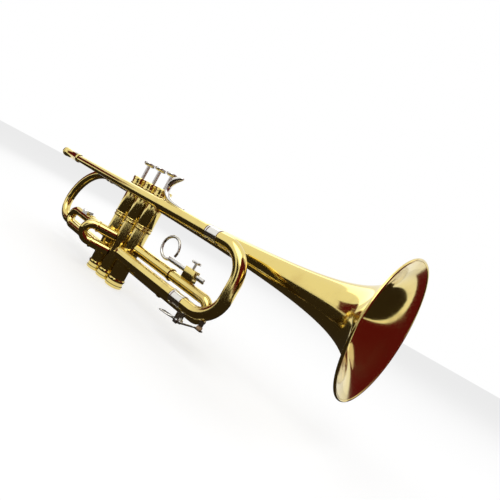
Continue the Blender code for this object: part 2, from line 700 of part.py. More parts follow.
def build_tuning_slide():
    start = SLEEVE_END + SEAT_GAP
    end = SLEEVE_END + FERRULE_LENGTH
    ring = SLEEVE_RADIUS + FERRULE_PROUD
    bow_start = end + SEAT_GAP
    for word, drop in (("upper", 0.0), ("lower", LOWER_LEG_DROP)):
        profile = [(LEG_RADIUS - LEG_WALL, LEG_START), (LEG_RADIUS, LEG_START), (LEG_RADIUS, start), (ring, start),
                   (ring, start + 0.0016), (SLEEVE_RADIUS, start + 0.0022), (SLEEVE_RADIUS, end - 0.0022),
                   (ring, end - 0.0016), (ring, end), (LEG_RADIUS - LEG_WALL, end)]
        leg = turned("tuning_slide_leg_%s" % word, profile, (0, PIPE_Y, level(drop)), (1, 0, 0), SLIDE_SIDES, NICKEL)
        set_origin(leg, (SLEEVE_END, PIPE_Y, level(0)))
    low = level(LOWER_LEG_DROP)
    corners = [(bow_start, PIPE_Y, level(0)), (BOW_REACH, PIPE_Y, level(0)), (BOW_REACH, PIPE_Y, low),
               (bow_start, PIPE_Y, low)]
    bow = swept("tuning_slide_bow", bent_path(corners, (BOW_BEND, BOW_BEND)), (BOW_RADIUS, BOW_RADIUS),
                PIPE_WALL, SLIDE_SIDES, BRASS)
    tip = level(NIPPLE_TIP_DROP)
    root_height = tip + 0.007
    join(bow, rod_tool((NIPPLE_X, PIPE_Y, root_height), (NIPPLE_X, PIPE_Y, tip), NIPPLE_RADIUS, SMALL_SIDES))
    cut(bow, rod_tool((NIPPLE_X, PIPE_Y, root_height + 0.004), (NIPPLE_X, PIPE_Y, tip - 0.001), DRAIN_RADIUS, 8))
    set_origin(bow, (SLEEVE_END, PIPE_Y, level(0)))
    build_water_key(low - BOW_RADIUS - SEAT_GAP, tip)


def build_water_key(saddle_top, tip):
    pivot = level(KEY_PIVOT_DROP)
    gap = RUNNING_GAP
    ear_out = KEY_HALF_WIDTH + gap + KEY_EAR
    left, right = KEY_PIVOT_X - KEY_SADDLE_HALF_LENGTH, KEY_PIVOT_X + KEY_SADDLE_HALF_LENGTH
    saddle = node("water_key_saddle",
                  box_shape((left, PIPE_Y - ear_out, pivot - KEY_EAR_BELOW), (right, PIPE_Y + ear_out, saddle_top)),
                  NICKEL)
    slot = KEY_HALF_WIDTH + gap
    cut(saddle, box_tool((left - 0.001, PIPE_Y - slot, pivot - 0.01), (right + 0.001, PIPE_Y + slot,
                                                                      saddle_top - KEY_SADDLE_FLOOR)))
    hole = KEY_SCREW_RADIUS + gap
    cut(saddle, rod_tool((KEY_PIVOT_X, PIPE_Y - 0.01, pivot), (KEY_PIVOT_X, PIPE_Y + 0.01, pivot), hole, SMALL_SIDES))
    pad = tip - SEAT_GAP - CORK_THICKNESS - SEAT_GAP - KEY_PAD_HALF_THICKNESS
    stations = [(KEY_PIVOT_X - 0.0245, pivot - 0.0017, 0.0005, 0.003), (KEY_PIVOT_X - 0.022, pivot - 0.0015, 0.0008, 0.0048),
                (KEY_PIVOT_X - 0.012, pivot - 0.0008, 0.0008, 0.0048), (KEY_PIVOT_X - 0.0055, pivot, 0.0011, KEY_HALF_WIDTH),
                (KEY_PIVOT_X - 0.0022, pivot, 0.002, KEY_HALF_WIDTH), (KEY_PIVOT_X + 0.0022, pivot, 0.002, KEY_HALF_WIDTH),
                (KEY_PIVOT_X + 0.006, pivot + 0.0004, 0.0009, KEY_HALF_WIDTH),
                (NIPPLE_X - 0.007, pad - 0.0012, 0.0008, KEY_HALF_WIDTH),
                (NIPPLE_X - 0.0035, pad, KEY_PAD_HALF_THICKNESS, CORK_RADIUS),
                (NIPPLE_X + 0.0032, pad, KEY_PAD_HALF_THICKNESS, CORK_RADIUS)]
    lever = flat_bar("water_key_lever", stations, NICKEL)
    cut(lever, rod_tool((KEY_PIVOT_X, PIPE_Y - 0.01, pivot), (KEY_PIVOT_X, PIPE_Y + 0.01, pivot), hole, SMALL_SIDES))
    cork_low = tip - SEAT_GAP - CORK_THICKNESS
    cork = turned("water_key_cork", [(0.0, 0.0), (CORK_RADIUS, 0.0), (CORK_RADIUS, CORK_THICKNESS), (0.0, CORK_THICKNESS)],
                  (NIPPLE_X, PIPE_Y, cork_low), (0, 0, 1), SMALL_SIDES, CORK)
    for piece in (lever, cork):
        set_origin(piece, (KEY_PIVOT_X, PIPE_Y, pivot))
    coil_room = 0.0022
    head = ear_out + gap
    far = ear_out + gap + coil_room
    profile = [(0.0, -head - 0.001), (KEY_SCREW_HEAD, -head - 0.001), (KEY_SCREW_HEAD, -head),
               (KEY_SCREW_RADIUS, -head), (KEY_SCREW_RADIUS, far), (KEY_SCREW_HEAD, far),
               (KEY_SCREW_HEAD, far + 0.001), (0.0, far + 0.001)]
    turned("water_key_screw", profile, (KEY_PIVOT_X, PIPE_Y, pivot), (0, 1, 0), SMALL_SIDES, STEEL)
    helix((KEY_PIVOT_X, PIPE_Y + ear_out + 0.0007, pivot), 0.0015, 0.0014, 2, 0.0003, "water_key_spring",
          (0, 1, 0), STEEL)


def build_finger_hook():
    """Hook for the right little finger, saddled on the upper sleeve."""
    base = level(0)
    half = HOOK_HALF_WIDTH
    outline = ((0.0862, 0.0063, 0.0017, 0.8), (0.0760, 0.0066, 0.0021, 1.1), (0.0660, 0.0073, 0.0025, 1.1),
               (0.0575, 0.0096, 0.0021, 1.0), (0.0515, 0.0132, 0.0023, 1.0), (0.0487, 0.0180, 0.0028, 1.0),
               (0.0490, 0.0235, 0.0033, 1.0), (0.0520, 0.0288, 0.0034, 1.0), (0.0568, 0.0327, 0.0033, 0.95),
               (0.0615, 0.0349, 0.0024, 0.8), (0.0640, 0.0356, 0.0012, 0.5))
    stations = [(x, base + rise, thick, half * width) for x, rise, thick, width in outline]
    hook = flat_bar("finger_hook", stations, NICKEL)
    cut(hook, rod_tool((UPPER_SLEEVE_START - 0.02, PIPE_Y, base), (SLEEVE_END, PIPE_Y, base), SLEEVE_RADIUS + SEAT_GAP))


def bell_wall(front, back, stations, crowding):
    """Outer and inner wall of the bell between two places, closer together towards the front."""
    outer = []
    for step in range(stations + 1):
        x = front - (front - back) * (step / stations) ** crowding
        outer.append((bell_radius(x), x))
    return outer, [(radius - BELL_WALL, x) for radius, x in outer]


def build_bell():
    """Bell in two spun parts that meet at a brazed seam: the flare with its rim bead, and the stem."""
    outer, inner = bell_wall(BELL_RIM_X, BELL_SEAM_X, FLARE_STATIONS, 2.2)
    lip = [(BELL_RIM_RADIUS - BELL_WALL - BELL_BEAD * 0.5, BELL_RIM_X - BELL_BEAD * 0.6),
           (BELL_RIM_RADIUS - BELL_BEAD * 0.5, BELL_RIM_X + BELL_BEAD * 0.3)]
    bead = [(BELL_RIM_RADIUS + BELL_BEAD * 0.4, BELL_RIM_X),
            (BELL_RIM_RADIUS + BELL_BEAD * 0.4, BELL_RIM_X - BELL_BEAD),
            (BELL_RIM_RADIUS - BELL_BEAD * 0.6, BELL_RIM_X - BELL_BEAD * 1.8)]
    profile = bead + outer[2:] + inner[:1:-1] + lip
    turned("bell_flare", profile, (0, BELL_Y, level(BELL_DROP)), (1, 0, 0), BELL_SIDES, BRASS)
    outer, inner = bell_wall(BELL_SEAM_X - SEAT_GAP, -BELL_STEM_END, STEM_STATIONS, 1.2)
    turned("bell", outer + inner[::-1], (0, BELL_Y, level(BELL_DROP)), (1, 0, 0), BELL_SIDES, BRASS)


def build_bell_bow():
    start = -BELL_STEM_END - SEAT_GAP
    top = level(BELL_DROP)
    low = level(BELL_TAIL_DROP)
    stem_radius = bell_radius(-BELL_STEM_END)
    tail_bend = BELL_TAIL_DROP - BELL_DROP - BELL_BOW_TOP_BEND
    corners = [(start, BELL_Y, top), (-BELL_BOW_REACH, BELL_Y, top), (-BELL_BOW_REACH, TAIL_Y, low),
               (valve_x(1), TAIL_Y, low), (valve_x(1), 0, low)]
    bow = swept("bell_bow", bent_path(corners, (BELL_BOW_TOP_BEND, tail_bend, ELBOW_BEND)),
                (stem_radius, BELL_TAIL_RADIUS), PIPE_WALL, TUBE_SIDES, BRASS)
    cut(bow, casing_tool(1))
    bore = bell_radius(-BELL_STEM_END + BELL_FERRULE_LENGTH / 2) + SEAT_GAP
    soldered = stem_radius - PIPE_WALL * 0.6
    half = BELL_FERRULE_LENGTH / 2
    outer = bore + BELL_FERRULE_WALL
    profile = [(soldered, -half), (outer - 0.0004, -half), (outer, -half + 0.0008), (outer, half - 0.0008),
               (outer - 0.0004, half), (bore, half), (bore, -0.0003), (soldered, -0.0003)]
    join(bow, tool(turned("tool", profile, (-BELL_STEM_END, BELL_Y, top), (1, 0, 0), CASING_SIDES, BRASS)))


def build_brace(name, x):
    """Cross brace from the leadpipe to the bell, its flanges fitted round both tubes."""
    height = level(BELL_DROP / 2)
    pipe = leadpipe_radius(x)
    bell = bell_radius(x + BRACE_FLANGE_RADIUS)
    start = PIPE_Y + pipe - 0.0015
    end = BELL_Y - bell + 0.0015
    length = end - start
    flange = BRACE_FLANGE_RADIUS
    depth = BRACE_FLANGE_DEPTH
    profile = [(0.0, 0.0), (flange, 0.0), (flange, depth), (BRACE_RADIUS, depth + 0.0008),
               (BRACE_RADIUS, length - depth - 0.0008), (flange, length - depth), (flange, length), (0.0, length)]
    brace = turned(name, profile, (x, start, height), (0, 1, 0), SMALL_SIDES, BRASS)
    reach = 2 * flange
    cut(brace, rod_tool((x - reach, PIPE_Y, level(0)), (x + reach, PIPE_Y, level(0)), pipe + SEAT_GAP * 1.5))
    cut(brace, rod_tool((x - reach, BELL_Y, level(BELL_DROP)), (x + reach, BELL_Y, level(BELL_DROP)),
                        bell + SEAT_GAP * 1.5, BELL_SIDES))


def build_block():
    second = (-math.cos(SECOND_ANGLE), -math.sin(SECOND_ANGLE), 0)
    forward, back = (1, 0, 0), (-1, 0, 0)
    slide_port = VALVE_LEG_RADIUS - LEG_WALL
    ports = {
        1: ((forward, REAR_LINK_DROP, 0, PORT_RADIUS), (back, FIRST_SLIDE_DROP, FIRST_SLIDE_Y, PORT_RADIUS),
            (back, FIRST_SLIDE_DROP + VALVE_SLIDE_SPREAD, FIRST_SLIDE_Y, PORT_RADIUS),
            ((0, 1, 0), BELL_TAIL_DROP, 0, PORT_RADIUS)),
        2: ((back, REAR_LINK_DROP, 0, PORT_RADIUS), (forward, FRONT_LINK_DROP, 0, PORT_RADIUS),
            (second, SECOND_SLIDE_DROP, 0, slide_port), (second, SECOND_SLIDE_DROP + VALVE_SLIDE_SPREAD, 0, slide_port)),
        3: ((back, FRONT_LINK_DROP, 0, PORT_RADIUS), (forward, THIRD_SLIDE_DROP, 0, slide_port),
            (forward, THIRD_SLIDE_DROP + VALVE_SLIDE_SPREAD, 0, slide_port),
            ((0, -1, 0), LOWER_LEG_DROP, 0, slide_port)),
    }
    for number in (1, 2, 3):
        build_casing(number, ports[number])
        build_caps(number)
        build_valve(number)


def main():
    clear_scene()
    build_block()
    build_valve_slides()
    build_finger_ring()
    build_leadpipe()
    build_tuning_slide()
    build_finger_hook()
    build_bell()
    build_bell_bow()
    build_brace("bell_brace_front", FRONT_BRACE_X)
    build_brace("bell_brace_rear", REAR_BRACE_X)


main()
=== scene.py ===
"""Looks of a three-valve trumpet: fine turned and drawn tubes, and the finish of every surface."""
import json
import logging
import math
from dataclasses import dataclass
from enum import Enum

import bpy
from mathutils import Matrix, Vector


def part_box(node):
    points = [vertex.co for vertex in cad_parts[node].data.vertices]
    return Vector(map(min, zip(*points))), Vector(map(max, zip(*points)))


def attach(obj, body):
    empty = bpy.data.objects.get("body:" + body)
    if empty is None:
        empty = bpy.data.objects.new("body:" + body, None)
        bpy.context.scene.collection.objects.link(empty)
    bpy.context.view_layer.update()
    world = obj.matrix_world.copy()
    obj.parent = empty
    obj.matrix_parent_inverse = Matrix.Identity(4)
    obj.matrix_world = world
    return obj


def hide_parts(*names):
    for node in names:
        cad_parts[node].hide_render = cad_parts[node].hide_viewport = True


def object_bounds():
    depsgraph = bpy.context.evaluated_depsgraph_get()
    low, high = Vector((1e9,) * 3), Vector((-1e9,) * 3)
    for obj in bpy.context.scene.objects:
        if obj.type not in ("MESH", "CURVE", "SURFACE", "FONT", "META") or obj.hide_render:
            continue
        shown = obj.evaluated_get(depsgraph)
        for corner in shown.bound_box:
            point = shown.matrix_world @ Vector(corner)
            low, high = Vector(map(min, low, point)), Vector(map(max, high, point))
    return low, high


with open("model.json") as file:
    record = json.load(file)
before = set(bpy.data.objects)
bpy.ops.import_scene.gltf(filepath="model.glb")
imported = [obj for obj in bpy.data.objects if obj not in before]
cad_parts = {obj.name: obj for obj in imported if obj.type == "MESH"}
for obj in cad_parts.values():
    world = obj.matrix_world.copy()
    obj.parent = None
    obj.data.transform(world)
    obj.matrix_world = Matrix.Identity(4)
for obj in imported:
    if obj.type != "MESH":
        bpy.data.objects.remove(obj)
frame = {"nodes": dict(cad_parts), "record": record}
CAD_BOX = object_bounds()

LOG = logging.getLogger("trumpet")
ROUND_SIDES = 72
BELL_SIDES = 128
ARC_STEPS = 14
SMOOTH_ANGLE = math.radians(38)
MERGE_DISTANCE = 0.000004
POINT_SPACING = 0.0002
TUBE_RESOLUTION = 12
EDGE_SEGMENTS = 3
BUMP_STRENGTH = 0.6

Point = tuple[float, float, float]
Profile = list[tuple[float, float]]

ALONG_X: Point = (1.0, 0.0, 0.0)
ALONG_Z: Point = (0.0, 0.0, 1.0)


class Slot(Enum):
    """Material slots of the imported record."""

    BRASS = "lacquered_brass"
    NICKEL = "nickel_silver"
    VALVE = "valve_metal"
    STEEL = "spring_steel"
    PEARL = "pearl"
    FELT = "felt"
    CORK = "cork"


class Wire:
    """A shader socket that takes part in arithmetic."""

    def __init__(self, tree: bpy.types.NodeTree, socket: bpy.types.NodeSocket) -> None:
        """Keep the tree and the output socket."""
        self.tree = tree
        self.socket = socket

    def _math(self, operation: str, first: object, second: object) -> "Wire":
        """Add a Math node for two wires or numbers.

        Args:
            operation: The node's operation.
            first: Its first value.
            second: Its second value.

        Returns:
            The result's wire.
        """
        maths = self.tree.nodes.new("ShaderNodeMath")
        maths.operation = operation
        for value, port in zip((first, second), maths.inputs):
            if isinstance(value, Wire):
                self.tree.links.new(value.socket, port)
            else:
                port.default_value = value
        return Wire(self.tree, maths.outputs[0])

    def __add__(self, other: object) -> "Wire":
        """Sum of this wire and another value."""
        return self._math("ADD", self, other)

    def __mul__(self, other: object) -> "Wire":
        """Product of this wire and another value."""
        return self._math("MULTIPLY", self, other)

    __radd__ = __add__
    __rmul__ = __mul__


class Shader:
    """One node material and the nodes in it."""

    def __init__(self, name: str) -> None:
        """Start a material that holds a Principled shader and its output.

        Args:
            name: The material's name.
        """
        self.material = bpy.data.materials.new(name)
        self.material.use_nodes = True
        self.tree = self.material.node_tree
        self.principled = self.tree.nodes["Principled BSDF"]
        self.place = self.node("ShaderNodeTexCoord", {}, {}).outputs["Object"]

    def node(self, kind: str, settings: dict, values: dict) -> bpy.types.Node:
        """Add a node.

        Args:
            kind: The node's type.
            settings: Its own settings, set first.
            values: Numbers, colours, sockets or wires for its inputs.

        Returns:
            The node.
        """
        made = self.tree.nodes.new(kind)
        for key, value in settings.items():
            setattr(made, key, value)
        for key, value in values.items():
            self.feed(made.inputs[key], value)
        return made

    def feed(self, port: bpy.types.NodeSocket, value: object) -> None:
        """Set an input to a value, or link it to a wire or socket.

        Args:
            port: The input.
            value: Number, colour, socket or wire.
        """
        if isinstance(value, Wire):
            self.tree.links.new(value.socket, port)
        elif isinstance(value, bpy.types.NodeSocket):
            self.tree.links.new(value, port)
        else:
            port.default_value = value

    def noise(self, scale: float, detail: float, stretch: Point = (1.0, 1.0, 1.0)) -> Wire:
        """Noise over the object's own coordinates, stretched along its axes.

        Args:
            scale: How fine the noise is.
            detail: Its number of finer layers.
            stretch: Scale along each axis, where a small one draws the noise out.

        Returns:
            The noise's wire.
        """
        mapping = self.node("ShaderNodeMapping", {}, {"Vector": self.place, "Scale": stretch})
        made = self.node("ShaderNodeTexNoise", {},
                         {"Vector": mapping.outputs[0], "Scale": scale, "Detail": detail})
        return Wire(self.tree, made.outputs[0])

    def step(self, wire: Wire, low: float, high: float) -> Wire:
        """Smooth mask that runs from 0 at low to 1 at high."""
        ramp = self.node("ShaderNodeMapRange", {"interpolation_type": "SMOOTHSTEP"},
                         {"Value": wire, "From Min": low, "From Max": high})
        return Wire(self.tree, ramp.outputs[0])

    def blend(self, mask: Wire, first: Point, second: Point) -> bpy.types.NodeSocket:
        """Mix two colours by a mask.

        Args:
            mask: 0 for the first colour, 1 for the second.
            first: Colour where the mask is 0.
            second: Colour where the mask is 1.

        Returns:
            The mixed colour's socket.
        """
        mixed = self.node("ShaderNodeMix", {"data_type": "RGBA"}, {"Factor": mask})
        mixed.inputs[6].default_value = (*first, 1.0)
        mixed.inputs[7].default_value = (*second, 1.0)
        return mixed.outputs[2]

    def finish(self, colour: object, roughness: object, metallic: float, height: Wire, depth: float) -> None:
        """Feed the Principled shader, with a bump from the height.

        Args:
            colour: Base colour, or the socket that gives it.
            roughness: Roughness, or the wire that gives it.
            metallic: 1 for a metal, 0 for anything else.
            height: Height of the bump.
            depth: The bump's depth in metres.
        """
        bump = self.node("ShaderNodeBump", {},
                         {"Height": height, "Distance": depth, "Strength": BUMP_STRENGTH})
        values = {"Base Color": colour, "Roughness": roughness, "Metallic": metallic,
                  "Normal": bump.outputs[0]}
        for key, value in values.items():
            self.feed(self.principled.inputs[key], value)


@dataclass(frozen=True)
class Metal:
    """A polished metal with faint tarnish, fine polishing lines and handling marks."""

    name: str
    bright: Point
    tarnish: Point
    roughness: float
    tarnish_share: float
    coat: float
    coat_roughness: float = 0.05
    scratch_depth: float = 0.00002
    cloud_scale: float = 38.0
    spot_scale: float = 420.0
    line_scale: float = 900.0
    line_stretch: Point = (0.06, 1.0, 1.0)
    spot_share: float = 0.12
    dull_roughness: float = 0.16
    line_roughness: float = 0.05

    def build(self) -> bpy.types.Material:
        """Make the metal's material.

        Returns:
            The material.
        """
        shader = Shader(self.name)
        clouds = shader.noise(self.cloud_scale, 5.0)
        spots = shader.noise(self.spot_scale, 4.0)
        lines = shader.noise(self.line_scale, 2.0, self.line_stretch)
        tarnish = shader.step(clouds, 0.5, 0.78) * self.tarnish_share
        dull = tarnish + shader.step(spots, 0.66, 0.8) * self.spot_share
        roughness = dull * self.dull_roughness + lines * self.line_roughness + self.roughness
        colour = shader.blend(dull, self.bright, self.tarnish)
        shader.finish(colour, roughness, 1.0, lines + spots * 0.5, self.scratch_depth)
        shader.principled.inputs["Coat Weight"].default_value = self.coat
        shader.principled.inputs["Coat Roughness"].default_value = self.coat_roughness
        return shader.material


@dataclass(frozen=True)
class SoftStuff:
    """Felt, cork or shell: a dull or glossy stuff that isn't metal."""

    name: str
    light: Point
    dark: Point
    roughness: float
    grain: float
    depth: float
    coat: float
    roughness_spread: float = 0.08

    def build(self) -> bpy.types.Material:
        """Make the stuff's material.

        Returns:
            The material.
        """
        shader = Shader(self.name)
        grain = shader.noise(self.grain, 6.0)
        bands = shader.noise(self.grain * 0.3, 3.0, (1.0, 2.6, 1.0))
        mask = shader.step(grain * 0.5 + bands * 0.5, 0.38, 0.62)
        colour = shader.blend(mask, self.light, self.dark)
        shader.finish(colour, mask * self.roughness_spread + self.roughness, 0.0, grain, self.depth)
        shader.principled.inputs["Coat Weight"].default_value = self.coat
        return shader.material


FINISHES: dict[Slot, Metal | SoftStuff] = {
    Slot.BRASS: Metal("lacquered_yellow_brass", (0.80, 0.64, 0.21), (0.55, 0.37, 0.11), 0.08, 0.45, 0.3),
    Slot.NICKEL: Metal("nickel_silver_polish", (0.78, 0.76, 0.71), (0.52, 0.49, 0.43), 0.14, 0.5, 0.0),
    Slot.VALVE: Metal("lapped_valve_metal", (0.62, 0.60, 0.56), (0.42, 0.40, 0.37), 0.24, 0.4, 0.0),
    Slot.STEEL: Metal("drawn_spring_wire", (0.56, 0.57, 0.59), (0.34, 0.33, 0.32), 0.22, 0.4, 0.0),
    Slot.PEARL: SoftStuff("button_shell", (0.90, 0.88, 0.83), (0.74, 0.78, 0.76), 0.14, 260.0, 0.00001, 0.8),
    Slot.FELT: SoftStuff("pressed_felt", (0.62, 0.60, 0.56), (0.44, 0.42, 0.39), 0.85, 1600.0, 0.0002, 0.0),
    Slot.CORK: SoftStuff("cut_cork", (0.60, 0.41, 0.24), (0.36, 0.22, 0.12), 0.75, 1100.0, 0.00015, 0.0),
}


class Bench:
    """Modelling by hand: turned rings, drawn tubes and blocks, dressed and put on their body."""

    def __init__(self) -> None:
        """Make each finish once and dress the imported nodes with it."""
        self.materials = {slot: finish.build() for slot, finish in FINISHES.items()}
        slots = {row["node"]: Slot(row["material_slot"]) for row in frame["record"]["subparts"]}
        for name, thing in frame["nodes"].items():
            thing.data.materials.clear()
            thing.data.materials.append(self.materials[slots[name]])
        bodies = frame["record"]["behaviour"]["bodies"]
        self.body_of = {node: body for body, nodes in bodies.items() for node in nodes}
        self.count = 0

    def deselect(self) -> None:
        """Leave edit mode and select nothing."""
        if bpy.context.object and bpy.context.object.mode == "EDIT":
            bpy.ops.object.mode_set(mode="OBJECT")
        bpy.ops.object.select_all(action="DESELECT")

    def dress(self, thing: bpy.types.Object, name: str, slot: Slot, nodes: tuple[str, ...],
              body: str = "") -> None:
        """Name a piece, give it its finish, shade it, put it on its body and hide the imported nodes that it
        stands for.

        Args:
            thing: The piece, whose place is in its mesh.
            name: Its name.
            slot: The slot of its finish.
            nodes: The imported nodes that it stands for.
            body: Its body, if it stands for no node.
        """
        thing.name = name
        thing.data.materials.clear()
        thing.data.materials.append(self.materials[slot])
        bpy.ops.object.shade_smooth_by_angle(angle=SMOOTH_ANGLE)
        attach(thing, body or self.body_of[nodes[0]])
        if nodes:
            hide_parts(*nodes)
        self.count += 1
        LOG.info("piece %s, %d faces", name, len(thing.data.polygons))

    def turned(self, profile: Profile, base: Point, direction: Point,
               sides: int = ROUND_SIDES) -> bpy.types.Object:
        """Turn a piece by extruding and scaling a circle along its axis.

        Args:
            profile: Pairs of radius and distance. A profile that starts on the axis is a solid piece.
            base: Start of the axis.
            direction: Direction of the axis.
            sides: Sides of the circle.

        Returns:
            The piece, with its place in its mesh.
        """
        solid = profile[0][0] <= 0.0
        steps = [point for point in profile if point[0] > 0.0] if solid else profile + [profile[0]]
        self.deselect()
        bpy.ops.mesh.primitive_circle_add(vertices=sides, radius=steps[0][0], location=(0, 0, 0))
        thing = bpy.context.object
        bpy.ops.object.mode_set(mode="EDIT")
        bpy.ops.mesh.select_all(action="SELECT")
        for (radius, along), (next_radius, next_along) in zip(steps, steps[1:]):
            bpy.ops.mesh.extrude_region_move(TRANSFORM_OT_translate={"value": (0, 0, next_along - along)})
            share = next_radius / radius
            bpy.ops.transform.resize(value=(share, share, 1.0))
        self.merge(fill=solid)
        turn = Vector(direction).to_track_quat("Z", "Y").to_matrix().to_4x4()
        thing.matrix_world = Matrix.Translation(base) @ turn @ Matrix.Translation((0, 0, steps[0][1]))
        bpy.ops.object.transform_apply(location=True, rotation=True, scale=True)
        return thing

    def drawn(self, points: list[Vector], radii: tuple[float, ...], resolution: int) -> bpy.types.Object:
        """Draw a round tube along points.

        Args:
            points: Points of the tube's axis.
            radii: Radius at each point, or at the first and last, with an even run between them.
            resolution: The curve's bevel resolution.

        Returns:
            The tube as a closed mesh.
        """
        self.deselect()
        bpy.ops.curve.primitive_nurbs_path_add(location=(0, 0, 0))
        thing = bpy.context.object
        curve = thing.data
        curve.splines.clear()
        spline = curve.splines.new("POLY")
        spline.points.add(len(points) - 1)
        if len(radii) < len(points):
            first, last = radii
            count = len(points)
            radii = tuple(first + (last - first) * index / (count - 1) for index in range(count))
        for spot, point, radius in zip(spline.points, points, radii):
            spot.co = (*point, 1.0)
            spot.radius = radius / max(radii)
        curve.dimensions = "3D"
        curve.bevel_depth = max(radii)
        curve.bevel_resolution = resolution
        curve.use_fill_caps = True
        bpy.ops.object.convert(target="MESH")
        thing = bpy.context.object
        bpy.ops.object.mode_set(mode="EDIT")
        self.merge(fill=False)
        return thing

    def merge(self, fill: bool) -> None:
        """Merge doubles, turn the faces outwards and leave edit mode.

        Args:
            fill: Whether to close the ends too.
        """
        bpy.ops.mesh.select_all(action="SELECT")
        bpy.ops.mesh.remove_doubles(threshold=MERGE_DISTANCE)
        if fill:
            bpy.ops.mesh.select_all(action="SELECT")
            bpy.ops.mesh.fill_holes(sides=0)
            bpy.ops.mesh.select_all(action="SELECT")
        bpy.ops.mesh.normals_make_consistent(inside=False)
        bpy.ops.object.mode_set(mode="OBJECT")

    def block(self, low: Point, high: Point) -> bpy.types.Object:
        """Add a cube with its place in its mesh.

        Args:
            low: Its lowest corner.
            high: Its highest corner.

        Returns:
            The cube, as the active piece.
        """
        low, high = Vector(low), Vector(high)
        self.deselect()
        bpy.ops.mesh.primitive_cube_add(size=1.0, location=(low + high) / 2)
        thing = bpy.context.object
        thing.scale = high - low
        bpy.ops.object.transform_apply(location=True, rotation=True, scale=True)
        return thing

    def soften(self, thing: bpy.types.Object, width: float) -> None:
        """Round the edges of the active piece.

        Args:
            thing: The piece.
            width: Width of the rounding.
        """
        edge = thing.modifiers.new("edges", "BEVEL")
        edge.width = width
        edge.segments = EDGE_SEGMENTS
        bpy.ops.object.modifier_apply(modifier="edges")


def off(edge: float, pairs: Profile) -> Profile:
    """Profile points whose distances are counted from an edge."""
    return [(radius, edge + distance) for radius, distance in pairs]


def bent(corners: list[Point], bends: tuple[float, ...]) -> list[Vector]:
    """Points along straight runs with an arc at each inner corner.

    Args:
        corners: The run's ends and corners.
        bends: The radius of each arc.

    Returns:
        The points, closer together on the arcs.
    """
    spots = [Vector(corner) for corner in corners]
    points = [spots[0]]
    for before, corner, after, bend in zip(spots, spots[1:], spots[2:], bends):
        inward = (corner - before).normalized()
        outward = (after - corner).normalized()
        turn = inward.angle(outward)
        side = (outward - inward * outward.dot(inward)).normalized()
        start = corner - inward * bend * math.tan(turn / 2)
        for step in range(ARC_STEPS + 1):
            angle = turn * step / ARC_STEPS
            points.append(start + side * bend * (1 - math.cos(angle)) + inward * bend * math.sin(angle))
    points.append(spots[-1])
    kept = [points[0]]
    for point in points[1:]:
        if (point - kept[-1]).length > POINT_SPACING:
            kept.append(point)
    return kept


def seen_rays(tree: bpy.types.NodeTree) -> Wire:
    """1 for rays from the camera and from polished metal, else 0."""
    path = tree.nodes.new("ShaderNodeLightPath")
    return Wire(tree, path.outputs["Is Camera Ray"]) + Wire(tree, path.outputs["Is Glossy Ray"])


def middle(node: str) -> Vector:
    """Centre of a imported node's box."""
    low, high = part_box(node)
    return (Vector(low) + Vector(high)) / 2


